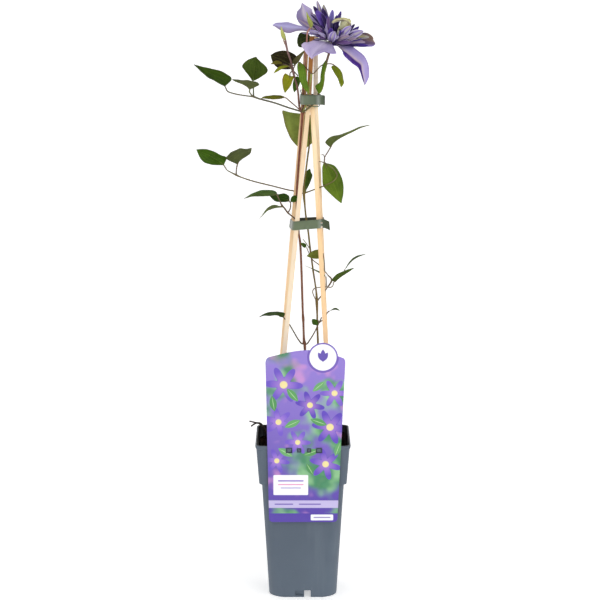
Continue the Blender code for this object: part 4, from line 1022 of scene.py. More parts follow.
# Across, height, angle, length, width and colour of each leaf.
CARD_LEAVES = [
    (-12, 246, 130, 20, 8, (96, 160, 96)), (18, 256, 40, 18, 7, (110, 172, 108)),
    (-34, 236, 100, 19, 8, (84, 148, 88)), (-12, 212, 205, 20, 8, (104, 168, 104)),
    (18, 214, -20, 20, 8, (90, 154, 92)), (-20, 178, 150, 19, 8, (112, 174, 112)),
    (10, 178, 20, 19, 8, (92, 156, 92)), (40, 182, 70, 18, 7, (104, 168, 104)),
    (8, 158, -60, 16, 7, (84, 148, 88)),
]
# Across, height, width, height and colour of each panel and rule.
CARD_PANELS = [
    (-14, 139, 40, 24, (248, 247, 251)), (-14, 144, 30, 1.6, (138, 116, 200)),
    (-14, 139.5, 30, 1.2, (226, 140, 186)), (-14, 135.5, 24, 1.2, (170, 158, 214)),
    (0, 116, 84, 9, (196, 186, 226)), (-22, 116, 22, 1.4, (112, 92, 182)),
    (8, 116, 26, 1.4, (112, 92, 182)),
    (0, 99, 84, 12, (88, 68, 166)), (22, 100, 26, 7, (244, 243, 249)), (22, 100, 20, 1.4, (150, 140, 190)),
]
CARD_THICKNESS = 0.6
CARD_BOTTOM = 94.4
CARD_SHOULDER = 284.0
CARD_BOTTOM_EDGES = (-39.1, 39.8)
CARD_TOP_EDGES = (-42.6, 48.1)
CARD_CORNER = 4.5
CARD_SHOULDER_RISE = 6.0
DISC_AT = (22.7, 290.0)
DISC_RADIUS = 17.0
DISC_FROM, DISC_TURN, DISC_STEPS = 150, 3.625, 41
CARD_FRONT_AT_RIM = -55.9
CARD_BEVEL = 0.08
CARD_SHARP = math.radians(30)
CARD_LEAN = math.radians(2.6)
SLOT_CLEARANCE = 1.3
print("motifs", len(CARD_BLOSSOMS) + len(CARD_LEAVES) + len(CARD_PANELS) + 1)


# %% The card's printed design
def card_print():
    """Blossoms, sprigs and panels from distances on the card, laid over a soft violet ground."""
    look = Look("printed card", Roughness=0.33, Specular_IOR_Level=0.3)
    where = look.add("TexCoord").outputs["Object"]

    def ruler(angle, x, z):
        """Millimetres from a point, measured along a direction on the card."""
        turn = math.radians(angle)
        dot = look.add("VectorMath", {0: where, 1: (1000 * math.cos(turn), 0, 1000 * math.sin(turn))},
                       operation="DOT_PRODUCT")
        return look.less(dot.outputs["Value"], x * math.cos(turn) + z * math.sin(turn))

    def edge(distance):
        return look.step(distance, -0.12, 0.12, False)

    def leaf(x, z, angle, long, wide):
        u = look.times(ruler(angle, x, z), 2 / long)
        bow = look.math("MULTIPLY_ADD", look.times(u, u), -wide / 2, wide / 2)
        return edge(look.less(bow, look.size(ruler(angle + 90, x, z))))

    def far(x, z):
        u, w = ruler(0, x, z), ruler(90, x, z)
        return look.math("SQRT", look.plus(look.times(u, u), look.times(w, w)))

    def disc(x, z, radius):
        return edge(look.less(radius, far(x, z)))

    def panel(x, z, wide, tall):
        u = look.less(wide / 2, look.size(ruler(0, x, z)))
        w = look.less(tall / 2, look.size(ruler(90, x, z)))
        return edge(look.math("SMOOTH_MIN", u, w, 2.0))

    def blossom(x, z, radius, phase):
        angle = look.math("ARCTAN2", ruler(90, x, z), ruler(0, x, z))
        wave = look.math("COSINE", look.math("MULTIPLY_ADD", angle, CARD_PETALS, phase))
        return edge(look.less(look.math("MULTIPLY_ADD", wave, radius * 0.3, radius * 0.7), far(x, z)))

    rise = look.step(ruler(90, 0, 94), 0, 200, False)
    soft = look.noise(look.place(), 22.0, 2.0)
    ground = look.mix(rise, srgb(84, 62, 164), srgb(152, 130, 212))

    def lay(share, *tone):
        """Print one colour over what is there."""
        nonlocal ground
        ground = look.mix(share, ground, srgb(*tone))

    drift = look.noise(look.place(shift=(0.3, 0.1, 0.7)), 34.0, 2.0)
    lay(look.part(drift, 0.54, 0.68, 0.55), 228, 160, 206)
    green = look.mix(look.step(drift, 0.35, 0.6), srgb(150, 206, 140), srgb(62, 140, 84))
    ground = look.mix(look.part(soft, 0.47, 0.6, 0.9), ground, green)
    for x, z, radius, phase, petal in CARD_BLOSSOMS:
        lay(blossom(x, z, radius, phase), *petal)
        shade = look.times(look.step(far(x, z), radius * 0.75, 0.0, False), 0.6)
        lay(look.times(blossom(x, z, radius * 0.9, phase), shade), 206, 160, 224)
        lay(disc(x, z, radius * 0.2), 238, 222, 160)
    for x, z, angle, long, wide, green in CARD_LEAVES:
        lay(leaf(x, z, angle, long, wide), *green)
        lay(leaf(x, z, angle, long * 0.9, 0.7), 176, 214, 160)
    for x, z, wide, tall, tone in CARD_PANELS:
        lay(panel(x, z, wide, tall), *tone)
    x, z = DISC_AT
    lay(disc(x, z, DISC_RADIUS + 1), 118, 96, 186)
    lay(disc(x, z, DISC_RADIUS - 1.6), 250, 250, 252)
    for angle, away in ((58, 4.2), (122, 4.2), (90, 5.4)):
        turn = math.radians(angle)
        foot = (x + away * math.cos(turn), z - 5 + away * 1.5 * math.sin(turn))
        lay(leaf(*foot, angle, 12.5, 5.6), 104, 86, 176)
    look.colour(ground)
    look.bump(look.noise(look.place(), 700.0, 2.0), 0.00003, 0.4)
    return look.done()


CARD_LOOK = card_print()

# %% Cut the card to its outline
def card_outline():
    """The card's edge, from its left foot over the arch and the lobe to its right foot."""
    low_left, low_right = CARD_BOTTOM_EDGES
    top_left, top_right = CARD_TOP_EDGES
    outline = []
    for k in range(9):
        angle = -math.pi / 2 - k * math.pi / 16
        outline.append((low_left + CARD_CORNER * (1 + math.cos(angle)),
                        CARD_BOTTOM + CARD_CORNER * (1 + math.sin(angle))))
    outline += [(top_left, CARD_SHOULDER), (top_left + 0.25, CARD_SHOULDER + 2.0),
                (top_left + 0.9, CARD_SHOULDER + 3.8), (top_left + 1.9, CARD_SHOULDER + 5.2)]
    start = (top_left + 3.0, CARD_SHOULDER + CARD_SHOULDER_RISE)
    end = (DISC_AT[0] - DISC_RADIUS * math.cos(math.radians(30)), DISC_AT[1] + DISC_RADIUS / 2)
    for k in range(18):
        t = k / 18
        outline.append((start[0] + (end[0] - start[0]) * t,
                        start[1] + (end[1] - start[1]) * math.sin(t * math.pi / 2)))
    for k in range(DISC_STEPS):
        angle = math.radians(DISC_FROM - DISC_TURN * k)
        outline.append((DISC_AT[0] + DISC_RADIUS * math.cos(angle),
                        DISC_AT[1] + DISC_RADIUS * math.sin(angle)))
    outline += [(top_right - 4.2, CARD_SHOULDER + CARD_SHOULDER_RISE),
                (top_right - 2.2, CARD_SHOULDER + 5.2),
                (top_right - 0.9, CARD_SHOULDER + 3.8), (top_right - 0.2, CARD_SHOULDER + 2.0),
                (top_right, CARD_SHOULDER)]
    for k in range(9):
        angle = -k * math.pi / 16
        outline.append((low_right - CARD_CORNER * (1 - math.cos(angle)),
                        CARD_BOTTOM + CARD_CORNER * (1 + math.sin(angle))))
    return outline


def make_card():
    """The outline filled, with a slot for each lug, hung on the pot's front."""
    curve = bpy.data.curves.new("card", "CURVE")
    curve.dimensions, curve.fill_mode = "2D", "BOTH"
    curve.extrude = (CARD_THICKNESS / 2 - CARD_BEVEL) * MM
    curve.bevel_depth, curve.bevel_resolution = CARD_BEVEL * MM, 1
    loops = [card_outline()]
    for x, wide, tall in LUGS.values():
        half, high = wide / 2 + SLOT_CLEARANCE, tall / 2 + SLOT_CLEARANCE
        loops.append([(x - half, LUG_HEIGHT - high), (x + half, LUG_HEIGHT - high),
                      (x + half, LUG_HEIGHT + high), (x - half, LUG_HEIGHT + high)])
    for loop in loops:
        spline = curve.splines.new("POLY")
        spline.points.add(len(loop) - 1)
        spline.use_cyclic_u = True
        for knot, (x, z) in zip(spline.points, loop):
            knot.co = (x * MM, (z - LUG_HEIGHT) * MM, 0, 1)
    obj = bpy.data.objects.new("card", curve)
    bpy.context.scene.collection.objects.link(obj)
    obj.location = (0, (CARD_FRONT_AT_RIM + CARD_THICKNESS / 2 + 0.2) * MM, LUG_HEIGHT * MM)
    obj.rotation_euler = (math.pi / 2 + CARD_LEAN, 0, 0)
    bpy.context.view_layer.update()
    place = obj.matrix_world.copy()
    mesh = bake(obj)
    mesh.transform(place)
    return face_out(mesh)


card_mesh = make_card()
adopt("label_card", card_mesh, CARD_LOOK, ("label_card",))
card_mesh.set_sharp_from_angle(angle=CARD_SHARP)
print("card", triangles(card_mesh), "triangles")

# %% [markdown]
# ## Leaves measured by three rails
# A folded or drooping leaf is easiest to describe as it is drawn: by its midrib and its two edges. For each
# of the plainest leaves, the table holds the place where the stalk meets the blade, the tip, and a few
# stations between them, each with a left edge point, a midrib point and a right edge point. They come
# before the stems, because each leaf stalk runs on to where its blade begins.

# %% Rails of the leaves, in millimetres
LEAF_RAILS = {
    "leaf_01": ((-88.4, -13, 593.8), (-123.8, -18, 619), [
        ((-88.7, -20, 594.3), (-91.8, -13.5, 595.8), (-81.2, -6, 601.3)),
        ((-100.3, -26, 600.6), (-98.5, -14.5, 599.7), (-87, -5, 607.8)),
        ((-108.8, -27, 605.7), (-106.4, -16, 604.3), (-99.3, -7, 612.6)),
        ((-116.4, -22.5, 612), (-114.7, -17.2, 611.1), (-111.6, -12, 615.5))]),
    "leaf_02": ((-60.3, -14, 590.2), (-80.4, -20, 602.4), [
        ((-48.9, -21, 596.4), (-62.8, -14.8, 592.9), (-52.3, -4, 595.1)),
        ((-57.5, -25, 600.7), (-68.5, -16.5, 596.4), (-60.3, -5, 598.8)),
        ((-67.1, -25, 601.6), (-74.1, -18, 598.6), (-68.7, -9, 600.1)),
        ((-75, -22.5, 602), (-78, -19.2, 600.4), (-75.5, -15, 601.1))]),
    "leaf_03": ((-57.1, -5.4, 599.6), (-53.2, -1, 626.9), [
        ((-60.9, -6, 604.5), (-56.1, -5.2, 603.4), (-49.8, -6, 602.7)),
        ((-66.7, -8, 612), (-55.4, -5, 609.6), (-40.6, -7.5, 609.5)),
        ((-69, -8, 617), (-54.8, -4.5, 615.8), (-41.5, -7, 615.5)),
        ((-63.8, -6, 622.8), (-54.1, -3.5, 621.4), (-48.1, -5, 621.4)),
        ((-57.3, -3, 625.6), (-53.5, -2, 624.9), (-51.7, -3, 624.8))]),
    "leaf_04": ((-20.2, -9, 581.2), (-49.2, -14, 578.7), [
        ((-24.5, -13, 579.9), (-24.4, -10, 580.9), (-24.6, -6, 583)),
        ((-31.2, -15.5, 579.2), (-31.2, -11.5, 580.8), (-31.3, -7, 583.7)),
        ((-38.5, -16, 579.6), (-38.6, -12.6, 580.8), (-38.6, -8.5, 583.2)),
        ((-45.3, -15.2, 580.2), (-45.4, -13.4, 580.8), (-45.4, -11.4, 582))]),
    "leaf_05": ((-91.1, 0.2, 503.4), (-122.1, -6, 521.6), [
        ((-99.1, -5, 503.5), (-94.7, 0, 506.2), (-87.8, 4, 511.4)),
        ((-108.1, -7, 504.9), (-101.5, -1.5, 510.7), (-94.8, 4, 514.5)),
        ((-115.6, -8, 509), (-108.2, -3, 514.8), (-103.8, 2, 519.4)),
        ((-119.8, -7.5, 516.3), (-115.6, -4.5, 518.3), (-113.5, 0, 521.7))]),
    "leaf_06": ((-75.4, 4.4, 503.6), (-59, 8, 522.4), [
        ((-85.4, 14, 508.3), (-73.8, 4.6, 506.3), (-88.3, -3, 510.9)),
        ((-79.7, 16, 513.9), (-69.7, 5.4, 509.8), (-82.8, -6, 517.7)),
        ((-72.7, 16, 518.4), (-64.8, 6.3, 512.8), (-73.8, -6, 522.5)),
        ((-65.1, 13, 519.4), (-60.5, 7.2, 516.3), (-64.6, -1, 522))]),
    "leaf_07": ((31.4, -2.6, 523.7), (78.1, -12, 550.3), [
        ((28.1, 5, 527.6), (33.7, -3.4, 527.2), (25.4, -10, 530.2)),
        ((35.2, 4, 534.4), (39.4, -5, 532.5), (33.1, -12.5, 537.2)),
        ((44.9, -1, 538), (47.6, -7, 537.4), (43.8, -11.5, 539.5)),
        ((56.7, -6, 543.6), (57.1, -9, 542.1), (56.1, -11.2, 544.3)),
        ((66.5, -9.6, 548.1), (66.8, -10.8, 547), (66.3, -11.6, 548.5))]),
    "leaf_08": ((24.4, -4.4, 506.1), (44.4, -3, 458.9), [
        ((36.5, -3, 502.5), (27.6, -4.6, 500.2), (22.2, -3, 500.6)),
        ((43.9, -2.4, 490.8), (31.5, -5.4, 491.1), (22.3, -3, 489.7)),
        ((46.6, -2, 480.2), (35.4, -5.6, 481.5), (23.3, -3.4, 479.5)),
        ((46.5, -2, 470.5), (39.3, -5, 471.9), (30.4, -4, 471.3)),
        ((45.3, -2.6, 463.8), (42.4, -4, 464.2), (38.2, -4, 464))]),
    "leaf_09": ((-29.4, -19.4, 471.9), (-67.6, -26, 467.1), [
        ((-31.1, -26, 475.6), (-34.2, -20, 470.4), (-33.1, -12, 475)),
        ((-40.3, -29, 477.8), (-42.1, -22, 469.8), (-42.3, -14, 475.2)),
        ((-50.5, -30, 476.6), (-50.1, -24, 469.8), (-50.7, -17, 474.2)),
        ((-59, -29, 472.9), (-58.6, -25.4, 469.6), (-58.8, -21, 471.4))]),
    "leaf_10": ((-15.7, -8.8, 462.7), (-39.2, -9, 469.5), [
        ((-18.5, -11, 461.9), (-18.9, -8.8, 464.5), (-16, -6, 468.1)),
        ((-25.1, -12, 461.7), (-23.5, -8.8, 465.7), (-21.1, -6, 471.1)),
        ((-32, -11.5, 462.7), (-29.2, -9, 466.8), (-28.4, -7, 470.3)),
        ((-36.6, -10, 466.7), (-34.9, -9, 468.1), (-34.8, -8, 470))]),
    "leaf_12": ((-22.8, -18.8, 457), (-50.8, -27, 443.2), [
        ((-27.4, -20.4, 458.5), (-27.1, -19.6, 456.9), (-27.1, -19, 456.2)),
        ((-33.7, -24, 460.1), (-34.2, -21.6, 456.1), (-34.2, -18.6, 454.8)),
        ((-41, -25, 456.2), (-40.6, -23.6, 453.9), (-40.5, -22.4, 452.7)),
        ((-46.2, -25.9, 449.1), (-46, -25.6, 448.5), (-45.8, -25.2, 448))]),
    "leaf_16": ((36.4, -6.6, 368.5), (59.8, -12, 385.9), [
        ((33.4, -6, 370.8), (37.8, -7.4, 371.2), (37.7, -9, 368.8)),
        ((38.7, -7, 377.2), (42.3, -8.6, 375.9), (43.2, -10.4, 374)),
        ((45.8, -9, 381), (48.1, -10, 379.6), (49.4, -11.4, 378.4)),
        ((52.4, -10.6, 383.9), (53.8, -11, 382.7), (54.7, -11.6, 382))]),
    "leaf_20": ((-22.5, 0, 325.8), (-52.1, -5, 326.2), [
        ((-26.6, -5, 327.1), (-25, -1, 329.1), (-21.3, 2, 330.5)),
        ((-30.6, -9, 329.6), (-31.5, -3.4, 330.9), (-29.5, 2, 332.1)),
        ((-37.5, -10, 329.1), (-38.7, -4.4, 330.6), (-37.8, -1, 332.3)),
        ((-45.1, -8, 328.8), (-45.4, -5, 329.3), (-44.5, -2, 330.7))]),
    "leaf_21": ((2.6, 3.8, 472.9), (8.3, 6.8, 498.8), [
        ((2.2, 4.6, 478.6), (4, 4.4, 478), (6.8, 4.4, 479)),
        ((2.2, 5.6, 485.4), (5.1, 5.2, 484.3), (9.5, 4.8, 485.5)),
        ((2.8, 6.4, 491.6), (6.3, 5.9, 490.4), (10.9, 5.4, 490.5)),
        ((4.6, 6.8, 495.9), (7.3, 6.4, 494.8), (9.3, 6, 494.6))]),
    "leaf_22": ((0.6, 15, 560.7), (0.7, 18, 519.5), [
        ((-14.9, 11, 563), (0.3, 15.2, 558.4), (9.3, 17, 559.4)),
        ((-23.4, 9, 564.8), (0.3, 15.4, 554.9), (16.2, 19, 555.2)),
        ((-22.4, 9, 556.5), (0.3, 15.8, 549.1), (18.1, 20, 548.8)),
        ((-19.7, 10, 545.6), (0.3, 16.4, 542.2), (17.9, 20, 540.7)),
        ((-14.2, 12, 532.8), (0.3, 17, 532.9), (14.7, 19.6, 531.5)),
        ((-6.8, 16, 523.7), (0.5, 17.6, 525.4), (7.7, 18.8, 524.2))]),
    "leaf_23": ((-4.6, -10.8, 621.1), (6.4, -16, 586), [
        ((1.8, -10.6, 616.4), (-3.5, -11.8, 616.1), (-6.6, -12.6, 616.5)),
        ((3.6, -11.8, 608.4), (-1.6, -13.2, 608.9), (-5.8, -14.6, 609.4)),
        ((4.6, -13, 601), (0.5, -14.4, 601), (-3.7, -16, 600.9)),
        ((6.4, -14.4, 592.7), (3.2, -15.4, 593.2), (-0.1, -16.4, 592.8))]),
    "leaf_24": ((26.3, -11, 623.2), (18.5, -15.5, 585), [
        ((27.5, -9, 618.3), (25.2, -11.6, 616.7), (22.4, -13, 618.4)),
        ((25, -9.5, 608.1), (22.9, -12.5, 608.8), (20.1, -14.5, 608.4)),
        ((24.5, -10.5, 600.3), (22, -13.5, 600.4), (19.1, -16, 599.2)),
        ((23.3, -12, 593.7), (20.6, -14.6, 593.8), (14, -18, 594.5)),
        ((21.5, -13.5, 588.6), (19.6, -15.2, 589.1), (16.3, -17.5, 588.1))]),
    "leaf_25": ((35.6, -9, 617.5), (43.3, -14, 592.4), [
        ((40, -7.5, 614.8), (36.8, -9.5, 614.1), (32.1, -12, 615.6)),
        ((44.1, -9, 609.6), (39.3, -11, 608.5), (35.1, -15, 609.4)),
        ((45.6, -11, 602.7), (41.7, -12.6, 602.1), (39.3, -16.5, 602.7)),
        ((46.4, -12.5, 597.3), (43.3, -13.6, 596.5), (41.7, -15.5, 595.9))]),
    "leaf_26": ((-12.5, -1.4, 616.9), (-37, 8, 628.1), [
        ((-7, 2, 626.1), (-15.9, 0.5, 618.9), (-12.7, 1, 613)),
        ((-14.1, 5, 631.7), (-21.4, 3, 621.5), (-22.3, 4, 612.2)),
        ((-23.2, 7, 633.5), (-26.7, 5, 623.9), (-29.6, 6, 614.4)),
        ((-31.7, 8, 631.5), (-31.9, 6.6, 626.1), (-34.7, 7.6, 620.2))]),
    "leaf_27": ((-9.1, -4.9, 617.5), (2.5, -3.6, 635), [
        ((-4.6, -7, 621.7), (-7.2, -4.8, 621.4), (-12.2, -3, 621.5)),
        ((-2.4, -6, 625.5), (-4.7, -4.6, 625.9), (-7.9, -3, 626.8)),
        ((-0.3, -5.2, 629), (-1.6, -4.2, 630.1), (-3.6, -3.4, 630.2))]),
    "leaf_30": ((-14.5, -12, 605.4), (-20.4, -17, 586.4), [
        ((-10.1, -12, 605), (-15.6, -12.6, 603), (-20.4, -13.5, 608.4)),
        ((-11.7, -13.2, 600.3), (-17.2, -13.6, 598.5), (-23.4, -15, 602)),
        ((-14, -14.4, 594.3), (-18.8, -15, 593.6), (-23, -16, 594.4)),
        ((-17.4, -15.8, 589.8), (-19.7, -16.2, 589.9), (-21.8, -16.6, 589.4))]),
    "leaf_32": ((9.8, 13, 645.2), (-6.6, 14.2, 641.7), [
        ((6.9, 12.6, 640.7), (6.3, 13, 645.2), (5.8, 14, 653.1)),
        ((2.9, 12.4, 637.5), (1.8, 13.4, 644), (1.2, 14.6, 654)),
        ((-1.7, 12.6, 636.8), (-2.2, 13.6, 642.9), (-3.8, 14.6, 652.8)),
        ((-5, 13.4, 637.7), (-4.8, 14, 641.7), (-6.4, 14.4, 646.7))]),
}
print("leaves on rails", len(LEAF_RAILS))

# %% [markdown]
# ## The stems
# Two stems climb between the sticks. A young clematis stem is thin, ribbed along its length and swollen
# where leaves part from it, and its leaf stalks wind round whatever they touch. Each stem is a bundle of
# measured lines with a thickness at every point, and the tube tree gives them all their ribbed skin.

# %% Bark and young skin
def stem_look():
    look = Look("stem skin", Roughness=0.55, Specular_IOR_Level=0.2)
    tone = look.attribute("tone")
    where = look.place()
    blotch = look.noise(where, 160.0, 4.0, 0.6)
    fine = look.noise(look.place(scale=(1, 1, 0.15)), 1500.0, 2.0)
    base = look.mix(look.part(blotch, 0.45, 0.75, 0.45), tone, srgb(62, 46, 34))
    base = look.mix(look.part(fine, 0.5, 0.8, 0.35), base, srgb(170, 140, 110))
    look.colour(base)
    look.bump(fine, 0.00015, 0.7)
    return look.done()


STEM_LOOK = stem_look()

# %% Lines of the two stems, each run in millimetres
# Each run has its usual radius, then its points from its root or fork outwards. A point may have its own.
STEM_A = {
    "main": (1.1, [(3, 2, 152, 1.3), (3.2, 1, 230, 1.3), (2.4, 0, 288, 1.3), (1.7, 0, 294.8, 1.9),
        (1.1, 0, 301, 1.2), (0.6, 0, 318), (0.3, 0, 324, 1.5), (-0.1, 0, 331), (-0.6, 0, 346), (-1.9, 0, 387),
        (-3.1, 0, 412), (-4.8, 0.2, 424), (-6.6, 0.6, 446), (-7.1, 1, 467), (-5.5, 0.2, 497),
        (-2.8, -1.4, 532, 1), (-1.6, -2.8, 548, 1), (-0.8, -4.2, 560), (-0.5, -4.6, 564, 1.9)]),
    "left_low": (0.6, [(1.7, 0, 294.8, 1), (-1.2, 0, 294.3, 0.7), (-6.1, 2, 300.2), (-10.6, 3, 307.9),
        (-16, 2, 317.3), (-20.3, 0, 322.9)]),
    "right_low": (0.5, [(1.7, 0, 294.8, 1), (4.5, -1.2, 294.2, 0.7), (8.6, -2.6, 300.3, 0.6),
        (13.5, -3.2, 308.6, 0.6), (16.1, -3.4, 314.1, 0.6), (18.6, -3.2, 320, 0.8), (22.3, -2.4, 322.3),
        (25.6, -2.6, 327), (28.4, -3, 331.6), (30.8, -4, 333.9)]),
    "right_low_short": (0.5, [(18.6, -3.2, 320, 0.6), (18, -5.2, 322.4), (16.8, -6.2, 324.4)]),
    "right_low_bud": (0.5, [(18.6, -3.2, 320, 0.6), (20.2, -3.8, 323), (21.6, -4.2, 326.4)]),
    "left_middle": (0.8, [(-6.1, 0.4, 438), (-9.2, -3.6, 441.6, 0.6), (-12.8, -9, 445.4, 0.6),
        (-17.4, -14, 449.8), (-21.3, -16.4, 455.5, 0.7), (-23.9, -17.6, 458.4), (-26.4, -18.4, 463.6, 0.5),
        (-29.4, -19.4, 470.6, 0.5)]),
    "left_middle_stub": (0.5, [(-23.9, -17.6, 458.4), (-25.2, -18.8, 458.2)]),
    "left_middle_stalk": (0.5, [(-17.4, -14, 449.8, 0.6), (-14.9, -12, 453.4), (-14.2, -10.4, 457.6),
        (-14.6, -8.8, 461, 0.45)]),
    "bud_left": (0.8, [(-0.5, -4.6, 564, 1.2), (-3.9, -6.6, 569.6, 1), (-5.4, -8.8, 584.7, 0.9),
        (-6.9, -9, 595, 0.9), (-9.2, -9, 602.4), (-11.5, -9, 611.5, 1.3), (-12.7, -9, 617.6),
        (-14.1, -9, 623.3), (-16.7, -9, 630.5), (-18.8, -9, 639, 1), (-20.6, -9, 645.2)]),
    "bud_top": (0.75, [(-0.5, -4.6, 564, 1.2), (0.1, -5.2, 571, 0.8), (0.3, -5.2, 585), (1.5, -5.2, 606),
        (2.4, -6.4, 617.4), (2.9, -12.4, 632.4), (4.2, -18, 644.5), (5, -23, 655), (8.2, -24, 659.6, 0.9)]),
    "stalk_leaf_pair": (0.7, [(-0.5, -4.6, 564, 1), (0.8, -8.8, 567.2, 0.8), (3.2, -10.9, 571.6),
        (5.6, -10.7, 580), (7, -10.6, 590), (9.6, -10.2, 607.5, 1.2)]),
    "petiole_pair_left": (0.5, [(9.6, -10.2, 607.5, 0.7), (6.8, -9.2, 610.9), (2.4, -8.4, 615.6),
        (-1.8, -8.4, 619.3), (-3.8, -9.4, 620.9), (-4.2, -10.8, 620.8)]),
    "petiole_pair_right": (0.5, [(9.6, -10.2, 607.5, 0.7), (12.4, -10.2, 608.4), (16.7, -9.8, 613),
        (20.7, -9.2, 617.1), (23.6, -8.8, 618, 0.6), (27.8, -8.2, 619), (31.6, -8.4, 619),
        (35.4, -9, 617.7)]),
    "petiole_pair_mid": (0.5, [(23.6, -8.8, 618), (25.2, -8.6, 620.8), (26.2, -9.6, 622.8),
        (26.3, -11, 622.8)]),
    "flower_stalk": (0.8, [(-0.5, -4.6, 564, 1.1), (0.8, -9, 565.2), (3.4, -11.1, 566.8), (6.8, -11.3, 569.4),
        (10.2, -10.9, 571.8), (14.2, -8.4, 577), (16.6, -5.6, 581.6), (18.2, -3.6, 586.6, 0.9),
        (20.4, -1.4, 594, 0.9), (22.8, 0, 602.4, 1), (27.1, 0, 621.7, 1.1), (29.8, 0, 631, 1.2),
        (31.8, 0, 638.6, 1.4)]),
    "behind_bloom": (0.5, [(29.7, 0, 630.6, 0.8), (22.6, 6.6, 633.6), (15.6, 11, 637.6),
        (10.6, 12.6, 640.8)]),
    "left_long": (0.8, [(-0.5, -4.6, 564, 1), (-4.3, -6.2, 565.6), (-18.1, -7.4, 569.9), (-33.3, -8.6, 575.2),
        (-48.4, -10, 579.2), (-56, -11, 581.9, 1), (-60.6, -11, 582.5, 0.6), (-74.2, -12, 584.6, 0.6),
        (-84.8, -13, 587.7, 0.6), (-87.1, -13, 590.8, 0.6)]),
    "left_long_low": (0.6, [(-56, -11, 581.9, 0.8), (-59, -13, 584.6), (-60.8, -14, 588)]),
    "left_long_high": (0.6, [(-56, -11, 581.9, 0.8), (-56.3, -7.4, 585.6), (-56.4, -5.6, 590.4),
        (-56.8, -5.4, 597.8)]),
    "left_short": (0.5, [(-0.5, -4.6, 564, 0.8), (-6.4, -7.6, 569.4), (-13.4, -8.6, 575.4),
        (-20.2, -9, 581)]),
    "fork_dark": (0.5, [(-11.5, -9, 611.5, 0.8), (-14.2, -5, 614.4), (-15.2, -1.4, 616.8)]),
    "fork_right": (0.5, [(-11.5, -9, 611.5, 0.8), (-10.4, -6.6, 614.4), (-8.9, -4.9, 617.3)]),
    "fork_narrow": (0.5, [(-11.5, -9, 611.5, 0.8), (-13.4, -11.6, 614), (-15.6, -13.4, 617)]),
    "fork_small": (0.5, [(-13.4, -11.6, 614), (-16.6, -10.4, 617), (-22.4, -10.8, 618.8)]),
    "fork_hanging": (0.5, [(-11.5, -9, 611.5, 0.8), (-13.6, -11, 609.7), (-15, -12, 608.2)]),
    "fork_low": (0.5, [(-11.5, -9, 611.5, 0.8), (-8.6, -7, 608.6), (-5.6, -5.4, 605.2)]),
    "bract_left": (0.5, [(-18.2, -7.6, 638.8), (-19.4, -7, 645, 0.55), (-21, -6.8, 653, 0.35)]),
    "bract_low": (0.5, [(-18.6, -9.6, 638.6), (-21.2, -10.6, 643, 0.6), (-22.3, -10.6, 648.6)]),
}
